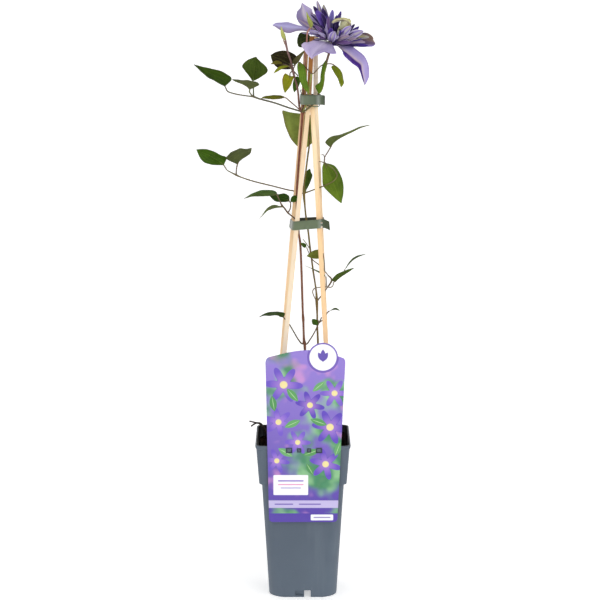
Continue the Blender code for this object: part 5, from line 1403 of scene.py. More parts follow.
STEM_B = {
    "main": (0.9, [(19, 5, 152, 1.2), (18.8, 5, 230, 1.2), (17.6, 5, 294.4, 1.1), (16.9, 4, 312.1, 1),
        (16.6, 4, 330, 1), (16.1, 3, 343.5, 1.6), (15.4, 2, 356.4), (11.8, 1, 380.6), (10, 1, 394.7),
        (8.4, 0, 405.9), (6.2, 0, 425.5), (3.6, 0, 442.7), (2.2, 0, 456.5), (1.1, 0, 470.4, 1.5),
        (1.3, 0, 481.3, 0.85), (3.6, 1, 497.8, 0.85), (5.6, 2, 513.6, 0.85), (7.3, 3, 526.4, 0.8),
        (7.4, 4.6, 543, 0.8), (6, 8, 553, 0.8), (3, 13, 561, 0.7), (1.4, 14.4, 563.6, 0.5)]),
    "tendril_low": (0.45, [(16.1, 3, 343.9, 0.7), (14.3, -0.6, 347.6), (12.5, -3.8, 351.8),
        (11.2, -5.8, 356.7), (12.2, -6.4, 359.7), (14.8, -6, 361.4), (19.6, -4.8, 361.7), (27.2, -5.6, 362.4),
        (32.4, -6, 361.9), (35, -6.4, 364.6), (35.2, -6.6, 367.3, 0.5)]),
    "tendril_up": (0.45, [(27.2, -5.6, 362.4, 0.5), (27.1, -5.4, 368), (26.7, -5.2, 374.6)]),
    "right_low": (0.45, [(16.1, 3, 343.9, 0.9), (21, 2.4, 350.2, 0.6), (26.6, 0.6, 358.3, 0.6),
        (33.4, -1.4, 369.4, 0.9), (29, -0.4, 375.4, 0.5), (24.9, 0, 380.4, 0.5), (18.4, -1, 387.8),
        (11.7, -2.2, 393.2), (7.6, -2.6, 400.2), (4.2, -3, 408.2)]),
    "right_low_long": (0.45, [(33.4, -1.4, 369.4, 0.6), (40, -1, 372.4), (46.4, -1.6, 377.6),
        (48.4, -2.6, 382.4)]),
    "right_low_up": (0.45, [(24.9, 0, 380.4, 0.5), (24.8, -3, 390), (23.4, -5.2, 401.6)]),
    "wisp": (0.35, [(8.5, 0, 405, 0.5), (6.2, -1.2, 409), (2.6, -1.8, 414.4), (0.1, -2, 417.6, 0.3)]),
    "leaf_up": (0.5, [(1.1, 0, 470.4, 0.7), (2.6, 2.2, 471.8), (3.8, 3.6, 473.4)]),
    "right_high": (0.6, [(1.1, 0, 470.4, 0.9), (6.6, 0.8, 472.4), (12.2, 0.4, 474.6), (17.4, -2, 476.9),
        (22.3, -4.8, 478.9), (28.6, -7.4, 482), (34, -8.6, 485), (37.9, -10, 489), (38.9, -10.6, 492.9),
        (37.3, -10.6, 496.8), (32.9, -9.6, 501.1), (28.2, -8.4, 504.4), (24.4, -7, 506.4, 0.9)]),
    "right_high_hanging": (0.6, [(24.4, -7, 506.4), (24.5, -4.4, 506)]),
    "right_high_up": (0.6, [(24.4, -7, 506.4), (25, -5, 512.8, 0.5), (28.4, -3.4, 518.4, 0.5),
        (31, -2.6, 522.8)]),
    "curl_low": (0.4, [(24.4, -7, 506.4, 0.5), (21.6, -5.6, 507.4), (19.4, -1.4, 507.2), (19, 2.6, 506.8)]),
    "curl_high": (0.35, [(24.9, -5.4, 511.8, 0.45), (23.6, -2, 515.2), (21.6, 2, 514.8)]),
    "left_high": (0.6, [(1.1, 0, 470.4, 0.9), (-1.8, 6, 470.4), (-5, 13.6, 470.8), (-10.6, 16.2, 471.6),
        (-19, 14.4, 473.4), (-33.8, 11, 477.6), (-55.3, 7, 483.3), (-70.6, 4, 488.5), (-76.8, 3, 491.4, 0.9),
        (-82.8, 2, 494.6, 0.5), (-87.4, 1, 497.4, 0.5), (-90.6, 0.2, 502.6)]),
    "left_high_up": (0.6, [(-76.8, 3, 491.4), (-76.7, 4, 497, 0.5), (-75.4, 4.4, 503.6)]),
}
print("lines", len(STEM_A), len(STEM_B))

# %% Colours of the stems, from the start to the end of each line
STEM_TONES = {
    "stem_a": {
        "bract_left": ((140, 108, 108), (170, 140, 132)), "bract_low": ((140, 108, 108), (180, 160, 130)),
        "main": ((120, 88, 66), (128, 72, 58)), "left_low": ((92, 84, 58), (96, 88, 64)),
        "right_low": ((92, 78, 56), (110, 92, 70)), "bud_left": ((112, 74, 62), (140, 108, 108)),
        "bud_top": ((112, 84, 66), (176, 120, 108)), "stalk_leaf_pair": ((120, 122, 60), (156, 160, 88)),
        "petiole_pair_left": ((112, 96, 62), (92, 62, 50)),
        "petiole_pair_right": ((112, 96, 62), (112, 84, 74)),
        "flower_stalk": ((96, 96, 56), (116, 88, 78)), "left_long": ((84, 84, 64), (96, 92, 70)),
        "left_short": ((112, 78, 60), (110, 84, 56)), "left_long_low": ((92, 88, 66), (120, 128, 84)),
        "left_long_high": ((84, 92, 60), (96, 112, 66))},
    "stem_b": {
        "main": ((122, 92, 58), (110, 102, 46)), "left_high": ((104, 84, 58), (104, 96, 62)),
        "right_high": ((112, 102, 56), (104, 108, 62)), "right_low": ((110, 92, 68), (120, 106, 82)),
        "wisp": ((132, 132, 110), (140, 140, 118)), "leaf_up": ((110, 118, 60), (96, 120, 52))},
}
STALK_TONE = ((98, 76, 60), (104, 88, 64))
TENDRIL_TONE = ((112, 98, 76), (128, 112, 90))
print("lines with a colour of their own", sum(map(len, STEM_TONES.values())))

# %% Grow the stems, with each leaf stalk run on to its leaf
STALK_SEARCH = 7.0
STALK_JOINED = 1.0
STALK_END_RADIUS = 0.5
STALK_TIP_RADIUS = 0.3
STEM_STEP = 2.0
STEM_SWELL, STEM_BARK = 1.12, 0.12


def stem_runs(name, table):
    """Smooth lines with a thickness and two colours, for the tube tree."""
    tones = STEM_TONES[name]
    runs = []
    for part, (usual, run) in table.items():
        plain = TENDRIL_TONE if part.startswith(("tendril", "curl", "right_low_")) else STALK_TONE
        run = [p if len(p) == 4 else (*p, usual) for p in run]
        for base, _, stations in LEAF_RAILS.values():
            gap = math.dist(base, run[-1][:3])
            if gap < STALK_SEARCH:
                if gap > STALK_JOINED:
                    run.append((*base, STALK_END_RADIUS))
                run.append((*stations[0][1], STALK_TIP_RADIUS))
                break
        full = [(x, y, z, radius * STEM_SWELL + STEM_BARK) for x, y, z, radius in run]
        runs.append((smooth_run(full, STEM_STEP), tones.get(part, plain)))
    return runs


for name, table in (("stem_a", STEM_A), ("stem_b", STEM_B)):
    grow_tubes(name, stem_runs(name, table), STEM_LOOK, STEM_SKIN, (name,))

# %% [markdown]
# ## Dead roots and buds
# The dead roots are thin dark tubes with a lumpy skin. A clematis bud is four sepals folded edge to edge,
# so it shows seams and ends in a point. The same tube tree makes both, the buds with deeper ribs and a
# short step.

# %% The dead roots, with the same skin
ROOT_STEP = 1.5
root_runs = [(smooth_run([(*p, DEAD_ROOT_RADIUS) for p in run], ROOT_STEP), DEAD_ROOT_TONES)
             for run in DEAD_ROOTS]
grow_tubes("soil_roots", root_runs, STEM_LOOK, ROOT_SKIN)

# %% Two buds
BUDS = {
    "bud_left": [(-20.75, -9, 645.6, 1.1), (-21.8, -9, 649.2, 2.3), (-23.2, -9, 653.4, 2.1),
                 (-24.2, -9, 657.6, 1.2), (-24.7, -9, 661, 0.4)],
    "bud_top": [(8.5, -24.05, 660.1, 1.2), (8.9, -24.2, 663.4, 2.6), (7.4, -24.2, 667.6, 2.6),
                (5.4, -24.2, 672.6, 1.4), (3.9, -24.2, 677.4, 0.4)],
}
BUD_TONES = {"bud_left": ((150, 160, 66), (196, 196, 120)), "bud_top": ((128, 132, 62), (150, 160, 60))}
BUD_STEP = 0.5


def bud_look():
    look = Look("bud skin", Roughness=0.5, Specular_IOR_Level=0.2)
    tone = look.attribute("tone")
    streak = look.noise(look.place(scale=(1, 1, 0.2)), 900.0, 3.0)
    base = look.mix(look.part(streak, 0.45, 0.7, 0.5), tone, srgb(206, 210, 140))
    look.colour(base)
    look.bump(streak, 0.0002, 0.6)
    return look.done()


BUD_LOOK = bud_look()
for name, run in BUDS.items():
    grow_tubes(name, [(smooth_run(run, BUD_STEP), BUD_TONES[name])], BUD_LOOK, BUD_SKIN, (name,))

# %% [markdown]
# ## A blade for leaves and petals
# A clematis leaf is a thin blade with a midrib, and two to four lesser veins that leave the base and run
# in a curve to the tip. Its halves fold up along the midrib. A petal is the same form with other numbers.
# So a blade is a grid: one direction runs from base to tip, the other from edge to edge. One function lays
# it out from a few measures, and another from measured rails. The lines of constant share across it are
# the paths that the curved veins take.

# %% Veins and thickness of a blade
BLADE_NECK = 1.5
BLADE_WAVE = 0.05
NECK_SHARE = 0.106
VEIN_ROWS = (0.0, 0.38, 0.7)
VEIN_WIDTH = 0.55
MIDRIB = 1.6
RIM_THIN = 0.8


def vein_dips(size, half, t, depth):
    """How far the veins sink into the upper face, with the midrib deepest."""
    dips = 0
    for row in VEIN_ROWS:
        dip = np.exp(-(((size - row) * half) / VEIN_WIDTH) ** 2) * (1 - t) ** 0.5
        dips = dips + depth * dip * (1.0 if row else MIDRIB)
    return dips


def two_faces(points, size, t, thick, spare):
    """The upper and the lower face of a blade, which thins to its edges and its tip."""
    facing = np.cross(np.gradient(points, axis=1), np.gradient(points, axis=0))
    length = np.linalg.norm(facing, axis=2, keepdims=True)
    facing = np.where(length > 1e-9, facing / np.maximum(length, 1e-9), spare)
    rim = (thick / 2 * (1 - RIM_THIN * size ** 4) * np.clip((1 - t) * 12, 0, 1))[..., None]
    return points + facing * rim, points - facing * rim


# %% A blade from its base, tip and width
def blade_grid(base, tip, width, face, fold, arch, lobe, outline, start=0.75, rows=30, cols=20,
               thick=0.42, ripple=0.012, veins=0.1):
    """The blade's upper and lower points, and where each one lies on the blade, in millimetres."""
    base, tip, up = (np.array(p, dtype=float) for p in (base, tip, face))
    along = tip - base
    length = np.linalg.norm(along)
    along /= length
    base = base + along * start
    length -= start
    up -= up.dot(along) * along
    up /= np.linalg.norm(up)
    side = np.cross(along, up)
    a, b = outline
    peak = a / (a + b)
    tilt = math.radians(fold / 2)
    t = (0.5 - 0.5 * np.cos(np.pi * np.linspace(0, 1, rows + 1)))[:, None]
    s = np.linspace(-1, 1, cols + 1)[None, :]
    half = width / 2 * (np.maximum(t, 1e-6) / peak) ** a * (np.maximum(1 - t, 0) / (1 - peak)) ** b
    half = np.maximum(half, BLADE_NECK / 2 * (1 - t))
    ramp = np.clip(t / NECK_SHARE, 0, 1)
    ramp = ramp * ramp * (3 - 2 * ramp)
    size = np.abs(s)
    back = lobe * half * size * (1 - t) ** 3 * ramp
    curl = math.sin(tilt) * size - 0.25 * math.sin(tilt) * s * s
    wave = BLADE_WAVE * width * np.sin(7.0 * t + 2.4 * s + length) * size * ramp
    wave = wave + ripple * width * np.sin(29.0 * t + 5.0 * s + 3 * length) * size ** 2 * ramp * (1 - t)
    wave = wave - vein_dips(size, half, t, veins)
    lift = arch * np.sin(np.pi * t)
    points = (base + along * (length * t - back)[..., None] + side * (half * s * math.cos(tilt))[..., None]
              + up * (lift + half * curl + wave)[..., None])
    flat = np.stack([half * s + 0 * t, length * t + 0 * s, half + 0 * s], axis=2)
    return *two_faces(points, size, t, thick, up), flat


# %% A blade from its measured rails
def rail_grid(base, tip, stations, rows=36, cols=20, thick=0.4, crown=0.05, ripple=0.012, veins=0.06):
    """A blade between its two edges and its midrib, in the same form as blade_grid gives."""
    base, tip = np.array(base, dtype=float), np.array(tip, dtype=float)
    way = (tip - base) / np.linalg.norm(tip - base)
    first = np.array(stations[0], dtype=float)
    spread = first[2] - first[0]
    neck = spread / np.linalg.norm(spread) * BLADE_NECK / 2
    table = np.array([[base - neck, base, base + neck], *stations, [tip, tip, tip]], dtype=float)
    last = len(table) - 1
    u = last * np.linspace(0, 1, rows + 1)
    rails = np.zeros((rows + 1, 3, 3))
    for i, value in enumerate(u):
        k = min(int(value), last - 1)
        rails[i] = between(*(table[max(0, min(last, k + j))] for j in (-1, 0, 1, 2)), value - k)
    left, mid, right = rails[:, 0], rails[:, 1], rails[:, 2]
    s = np.linspace(-1, 1, cols + 1)[None]
    size = np.abs(s)
    edge = np.where((s < 0)[..., None], left[:, None], right[:, None])
    points = mid[:, None] + (edge - mid[:, None]) * size[..., None]
    across = np.linalg.norm(right - mid, axis=1) + np.linalg.norm(left - mid, axis=1)
    half = np.linalg.norm(edge - mid[:, None], axis=2)
    along = np.concatenate([[0], np.cumsum(np.linalg.norm(np.diff(mid, axis=0), axis=1))])
    normal = np.cross(right - left, np.gradient(mid, axis=0))
    normal /= np.maximum(np.linalg.norm(normal, axis=1, keepdims=True), 1e-9)
    t = (along / along[-1])[:, None]
    bulge = crown * across[:, None] * size * (1 - size) * 2
    wave = ripple * across[:, None] * np.sin(23.0 * t + 5.0 * s + along[-1]) * size ** 2
    wave = wave - vein_dips(size, half, t, veins)
    points = points + normal[:, None] * (bulge + wave)[..., None]
    flat = np.stack([half * s, along[:, None] + 0 * s, half], axis=2)
    return *two_faces(points, size, t, thick, normal[:, None]), flat


# %% Gather blades in one mesh
def spread_tones(tone, flat):
    """One colour all over, or several that blend in even steps from the left edge to the right edge, which
    paint light and shade across a folded blade.
    """
    paints = tone if isinstance(tone[0], tuple) else (tone, tone)
    share = flat[..., 0] / np.maximum(flat[..., 2], 0.05)
    return blend_tones(share, np.linspace(-1, 1, len(paints)), paints)


class Sheet:
    """Blades gathered into one mesh, with a colour for each side and marks along each blade."""

    def __init__(self):
        self.points, self.faces, self.tone, self.mark, self.flat, self.count = [], [], [], [], [], 0

    def add(self, grid, upper, under, mark, strength, under_strength=None, root=None):
        top, low, flat = grid
        rows, cols = top.shape[:2]
        number = rows * cols
        self.faces += slab_faces(rows, cols, self.count)
        self.points += [top.reshape(-1, 3), low.reshape(-1, 3)]
        self.flat += [flat.reshape(-1, 3)] * 2
        if under_strength is None:
            under_strength = strength
        for face, share in ((upper, strength), (under, under_strength)):
            tone = spread_tones(face, flat)
            marks = np.tile((*srgb(*mark), share), (number, 1))
            # A root colour blends in towards the blade's root and fades its marks: painted shade in the
            # bloom's heart.
            if root is not None:
                away = np.clip(flat[..., 1] / (flat[..., 1].max() * root[1]), 0, 1).reshape(-1, 1)
                tone[:, :3] = np.array(srgb(*root[0])) * (1 - away) + tone[:, :3] * away
                marks[:, 3:] *= away
            self.tone.append(tone)
            self.mark.append(marks)
        self.count += 2 * number

    def mesh(self, name):
        mesh = mesh_of(name, np.concatenate(self.points), self.faces)
        for label, kind, values in (("tone", "FLOAT_COLOR", self.tone), ("mark", "FLOAT_COLOR", self.mark),
                                    ("flat", "FLOAT_VECTOR", self.flat)):
            paint(mesh, label, kind, np.concatenate(values))
        return face_out(mesh)


# %% [markdown]
# ## Leaf green
# The upper face is darker than the lower one, the veins are paler, a fine net lies between them, and old
# leaves have a reddish or brown rim and small spots. Each leaf carries its own tones, read off the plant,
# and the finish adds the veins from the leaf's own measures.

# %% The leaf finish
def blade_map(look):
    """What every point of a blade carries: its colours, and where on the blade it lies."""
    tone, mark = look.attribute("tone"), look.attribute("mark")
    strength = look.attribute("mark", "Alpha")
    flat = look.attribute("flat", "Vector")
    across, _, half = look.add("SeparateXYZ", {0: flat}).outputs
    size = look.math("DIVIDE", look.size(across), look.math("MAXIMUM", half, 0.05))
    return tone, mark, strength, flat, across, half, size


def leaf_look():
    look = Look("leaf", Roughness=0.48, Specular_IOR_Level=0.12)
    tone, mark, strength, flat, across, half, size = blade_map(look)
    near = look.size(across)
    for row in VEIN_ROWS[1:]:
        gap = look.times(look.size(look.less(size, row)), half)
        near = look.math("MINIMUM", near, look.plus(gap, 0.12))
    vein = look.step(near, 0.45, 0.08)
    net = look.cells(look.place(scale=(0.42, 0.3, 0.0), source=flat), 1.0, "DISTANCE_TO_EDGE")
    net = look.step(net, 0.07, 0.0)
    where = look.place()
    cloud = look.noise(where, 85.0, 4.0, 0.6)
    base = look.mix(look.step(cloud, 0.3, 0.72), look.mix(0.35, tone, (0.0, 0.0, 0.0)), tone)
    pale = look.mix(0.3, tone, srgb(176, 190, 84))
    base = look.mix(look.times(net, 0.16), base, pale)
    base = look.mix(look.times(vein, 0.3), base, pale)
    spots = look.step(look.noise(where, 330.0, 2.0), 0.68, 0.76)
    base = look.mix(look.times(spots, 0.35), base, srgb(120, 96, 50))
    rim = look.step(look.plus(size, look.times(cloud, 0.3)), 0.95, 1.2)
    base = look.mix(look.times(rim, strength), base, mark)
    look.colour(base)
    look.rough(look.math("MULTIPLY_ADD", cloud, 0.2, 0.36))
    height = look.plus(look.times(vein, -1.0), look.times(net, -0.4))
    look.bump(height, 0.00018, 0.8)
    return look.done()


LEAF_LOOK = leaf_look()

# %% Measures of the leaves
# Outlines: where a blade is widest and how it narrows, as the powers of a beta curve.
OVATE = (0.55, 1.0)
RHOMBIC = (0.95, 0.95)
LANCE = (0.7, 0.9)
DRAWN = (0.6, 2.4)

# The leaves without rails: end of the stalk, tip, width, way the upper face looks, fold in degrees,
# arch, backward lobe and outline.
LEAVES = {
    "leaf_11": ((-14.6, -8.8, 461), (-4.4, -3.4, 467.8), 8.8, (-0.5, -0.85, 0.3), 26, 0.4, 0.2, RHOMBIC),
    "leaf_13": ((4.2, -3, 408.2), (-2.6, -4.6, 413.8), 5, (-0.2, -0.9, 0.5), 20, 0.3, 0.0, OVATE),
    "leaf_14": ((23.4, -5.2, 401.6), (4.2, -5.6, 398.4), 11, (0, -1, 0.25), 24, 0.6, 0.3, OVATE),
    "leaf_15": ((26.7, -5.2, 374.6), (1.6, -3.6, 387.4), 3.6, (0.2, -0.5, 0.85), 30, 0.8, 0.0, DRAWN),
    "leaf_17": ((48.4, -2.6, 382.4), (73.6, -8, 401.4), 6, (-0.5, -0.2, 0.85), 60, 3.4, 0.4, LANCE),
    "leaf_18": ((30.8, -4, 333.9), (43.2, -9, 334.8), 5, (0.0, -0.35, 0.95), 50, 2.0, 0.0, LANCE),
    "leaf_19": ((16.8, -6.2, 324.4), (11.4, -8.6, 318.8), 9, (-0.1, -1, 0.2), 16, 0.3, 0.1, RHOMBIC),
    "leaf_28": ((-15.6, -13.4, 617), (-33.4, -20, 608.8), 6, (-0.2, -0.7, 0.7), 50, 2.0, 0.0, LANCE),
    "leaf_29": ((-22.4, -10.8, 618.8), (-37.6, -15, 618.8), 7, (0, -0.6, 0.8), 40, 1.6, 0.2, OVATE),
    "leaf_31": ((-5.6, -5.4, 605.2), (-10.2, -2.4, 586.2), 9, (-0.3, -0.9, 0.2), 24, -0.8, 0.3, OVATE),
}
print("leaves without rails", len(LEAVES))

# %% Tones of the leaves
# Upper face, under face, rim colour and how strong the rim is. Where a face has several colours, they blend
# across the blade from edge to edge as painted light and shade.
LEAF_TONES = {
    "leaf_01": ((52, 80, 2), (90, 96, 56), (84, 64, 24), 0.3),
    "leaf_02": ((50, 84, 12), (82, 90, 49), (70, 72, 30), 0.3),
    "leaf_03": ((60, 82, 10), (82, 92, 52), (84, 64, 30), 0.3),
    "leaf_04": ((108, 109, 8), (110, 112, 44), (104, 52, 30), 0.6),
    "leaf_05": ((58, 95, 1), (82, 92, 52), (70, 76, 30), 0.2),
    "leaf_06": ((50, 84, 12), (77, 86, 46), (70, 72, 30), 0.2),
    "leaf_07": ((70, 94, 20), (82, 94, 40), (70, 80, 30), 0.2),
    "leaf_08": (((80, 108, 16), (92, 118, 22), (104, 130, 34)), (96, 116, 50), (70, 84, 20), 0.2),
    "leaf_09": ((50, 84, 12), ((46, 84, 14), (74, 92, 44), (76, 92, 48)), (46, 84, 14), 0.7),
    "leaf_10": ((32, 66, 2), (76, 92, 40), (50, 60, 20), 0.2),
    "leaf_11": ((52, 92, 8), (82, 96, 44), (60, 70, 20), 0.2),
    "leaf_12": ((70, 94, 30), (84, 96, 56), (70, 80, 40), 0.2),
    "leaf_13": ((50, 84, 20), (80, 96, 52), (60, 70, 30), 0.2),
    "leaf_14": ((108, 118, 46), (116, 124, 56), (96, 80, 40), 0.4),
    "leaf_15": ((70, 88, 40), (84, 96, 60), (70, 80, 40), 0.3),
    "leaf_16": ((66, 90, 30), (88, 100, 50), (60, 66, 24), 0.2),
    "leaf_17": ((56, 86, 30), (80, 96, 50), (60, 66, 24), 0.2),
    "leaf_18": ((50, 78, 16), (84, 96, 50), (60, 66, 24), 0.3),
    "leaf_19": ((60, 100, 24), (84, 104, 60), (60, 70, 24), 0.2),
    "leaf_20": ((42, 72, 10), (58, 80, 24), (64, 66, 24), 0.2),
    "leaf_21": ((58, 88, 18), (80, 98, 44), (60, 66, 24), 0.2),
    "leaf_22": ((66, 96, 26), (136, 154, 72), (104, 70, 40), 0.6),
    "leaf_23": ((100, 135, 32), (108, 134, 58), (84, 100, 30), 0.2),
    "leaf_24": (((116, 126, 2), (84, 118, 2), (66, 98, 2)), (104, 124, 40), (84, 96, 20), 0.2),
    "leaf_25": ((118, 132, 12), (120, 130, 44), (84, 70, 20), 0.6),
    "leaf_26": ((40, 36, 10), (40, 31, 12), (52, 34, 22), 0.4),
    "leaf_27": ((78, 74, 40), (98, 92, 56), (70, 50, 34), 0.4),
    "leaf_28": ((140, 148, 26), (136, 144, 40), (124, 66, 30), 0.7),
    "leaf_29": ((112, 103, 30), (114, 106, 44), (104, 64, 36), 0.5),
    "leaf_30": ((132, 134, 14), (132, 134, 50), (136, 72, 30), 0.8),
    "leaf_31": ((56, 92, 12), (90, 108, 36), (70, 76, 24), 0.2),
    "leaf_32": ((40, 56, 16), (74, 88, 46), (52, 50, 20), 0.2),
}

print("leaf tones", len(LEAF_TONES))

# %% Grow the leaves
LEAF_COLS = 22
LEAF_VEINS = 0.06


def between_limits(value, least, most):
    """A whole number that keeps to its limits."""
    return int(min(most, max(least, value)))


total = 0
for name, tones in LEAF_TONES.items():
    sheet = Sheet()
    measures = LEAF_RAILS.get(name) or LEAVES[name]
    rows = between_limits(0.9 * math.dist(*measures[:2]), 18, 44)
    if name in LEAF_RAILS:
        grid = rail_grid(*measures, rows=rows, cols=LEAF_COLS, veins=LEAF_VEINS)
    else:
        cols = between_limits(measures[2], 12, 28) // 2 * 2
        grid = blade_grid(*measures, rows=rows, cols=cols, veins=LEAF_VEINS)
    sheet.add(grid, *tones)
    leaf_mesh = sheet.mesh(name)
    adopt(name, leaf_mesh, LEAF_LOOK, (name,))
    total += triangles(leaf_mesh)
print("leaves", len(LEAF_TONES), "with", total, "triangles")

# %% [markdown]
# ## The bloom
# The flower is double: a collar of wide lilac sepals, and above it rings of narrow pointed petals, each
# deeper violet with a pale cream bar along the middle. They are blades too, on a small green and cream
# core. The sepals and the front petals are set one by one, where the real ones stand. Small petals fill
# the heart in fans, and rings of petals make the back.

# %% The petal finish
def petal_look():
    look = Look("petal", Roughness=0.6, Specular_IOR_Level=0.08)
    tone, mark, strength, flat, across, half, size = blade_map(look)
    streak = look.noise(look.place(scale=(1.1, 0.05, 0), source=flat), 2.2, 3.0)
    cloud = look.noise(look.place(), 90.0, 3.0)
    deep = look.mix(0.45, tone, srgb(60, 40, 130))
    base = look.mix(look.part(streak, 0.45, 0.7, 0.45), tone, deep)
    base = look.mix(look.part(cloud, 0.45, 0.75, 0.3), base,
                    look.mix(0.3, tone, srgb(214, 196, 232)))
    bar = look.step(look.plus(size, look.times(streak, 0.25)), 0.58, 0.28)
    base = look.mix(look.times(bar, strength), base, mark)
    vein = look.step(look.size(across), 0.35, 0.1)
    base = look.mix(look.times(vein, 0.35), base, deep)
    look.colour(base)
    look.bump(look.plus(streak, look.times(vein, -0.6)), 0.0003, 0.7)
    return look.done()


PETAL_LOOK = petal_look()

# %% Rails of the wide sepals
SEPAL_RAILS = {
    "left": ((25.1, 3, 649.4), (-35.1, -4, 662.2), [
        ((3.4, -1, 655.5), (3.4, 1, 657.7), (3.4, 3, 659.7)),
        ((-5.6, -4, 655.9), (-5.7, 0, 659.1), (-5.7, 4, 662.3)),
        ((-15.8, -8, 653.6), (-15.9, -1, 659.7), (-17, 5, 665.4)),
        ((-25.4, -8, 656.5), (-24.9, -2.5, 661.1), (-25, 3, 665.4)),
        ((-31, -6, 660.3), (-31.1, -3.5, 662), (-31.3, -1, 664.5))]),
    "top": ((27.4, 6, 649.9), (-1.3, 27, 687.5), [
        ((1.2, 14, 660), (9.2, 12, 663.3), (16, 12, 669)),
        ((-6.6, 20, 668.4), (2.9, 17, 671.7), (11.4, 16, 675.4)),
        ((-7, 23, 676.7), (0.4, 21, 678.1), (9.9, 19, 680.1)),
        ((-2.9, 25, 681.2), (-0.6, 24.5, 682.9), (4.6, 23, 683.5))]),
    "front": ((30.7, -4, 643), (9.8, -46, 625.6), [
        ((33.7, -12, 639.8), (25.4, -14, 641.9), (16.9, -14, 645.3)),
        ((37.5, -26, 630.9), (19.7, -26, 638.9), (6.2, -26, 644.3)),
        ((25.1, -38, 633), (14.3, -37, 634), (-1.6, -36, 641.5)),
        ((14.9, -44, 630), (11.1, -43.5, 629.1), (2.6, -43, 633.3))]),
    "low right": ((33, -2, 642.5), (69.7, -26, 595.3), [
        ((40.8, -5, 644.3), (36.5, -9, 641.1), (34, -11, 639.6)),
        ((47.7, -4, 642.3), (39.9, -10, 638.7), (39.1, -12, 639.2)),
        ((55.6, -7, 639.2), (45.2, -15, 633.9), (43.9, -17, 634.2)),
        ((62.9, -9, 633.1), (51.4, -17.5, 630.4), (46.5, -18, 628.6)),
        ((69.7, -12, 627.9), (59.8, -20, 623.5), (54.2, -20, 620.8)),
        ((73.7, -15, 618.8), (65.6, -23, 618.9), (61.3, -22, 616.2)),
        ((74.6, -18, 611.3), (66.5, -25, 612.3), (63.5, -25, 612.3)),
        ((74.3, -21, 604.3), (68.3, -25.6, 603.2), (66.7, -26, 603.2))]),
    "right": ((39.8, -2, 642.8), (82.3, -6, 641.7), [
        ((53.4, 0, 647.8), (53.3, -4, 643.4), (53.2, -10, 640.2)),
        ((64.8, 2, 652.9), (64.7, -5, 645.1), (64.5, -12, 638.9)),
        ((69.8, 0, 651.9), (69.6, -6, 644.8), (69.5, -11, 638.5)),
        ((74.1, 0, 648.3), (74.1, -7, 643.5), (74, -10, 638.4)),
        ((79, -2, 646.7), (79.1, -6, 642.8), (79.8, -8, 638.8))]),
    "cap": ((41, 2, 652.3), (49.2, -12, 667.8), [
        ((38.8, -3, 656.3), (43, -6, 657.4), (49.9, -5, 656.9)),
        ((41.7, -6, 662.5), (46.3, -10, 663.5), (52.9, -8, 661.5)),
        ((43.2, -8, 667.3), (48.5, -11, 668), (53.8, -9, 666))]),
    "arch": ((52.7, -10, 661.5), (32.3, -14, 665.1), [
        ((51.5, -10, 664.3), (52.6, -12, 665.7), (54, -10, 667.8)),
        ((47, -10, 667.2), (47.2, -12.5, 668.9), (47.4, -10, 670.7)),
        ((41.8, -11, 667.8), (41.7, -13, 669.2), (41.5, -11, 670.7)),
        ((37.7, -12, 666.2), (37.2, -14, 668.1), (36.6, -12, 669.6)),
        ((34.5, -13, 664.4), (34, -15, 666.2), (33.4, -13, 667.6))]),
}
BACK_SEPALS = [
    ((33.6, 3, 646), (60, 44, 640), 24, (0, 0.1, 1), 20, 4.0, 0.0, LANCE),
    ((31, 3.4, 647), (10, 48, 650), 24, (0, -0.2, 1), 20, 4.0, 0.0, LANCE),
]
print("sepals", len(SEPAL_RAILS) + len(BACK_SEPALS))

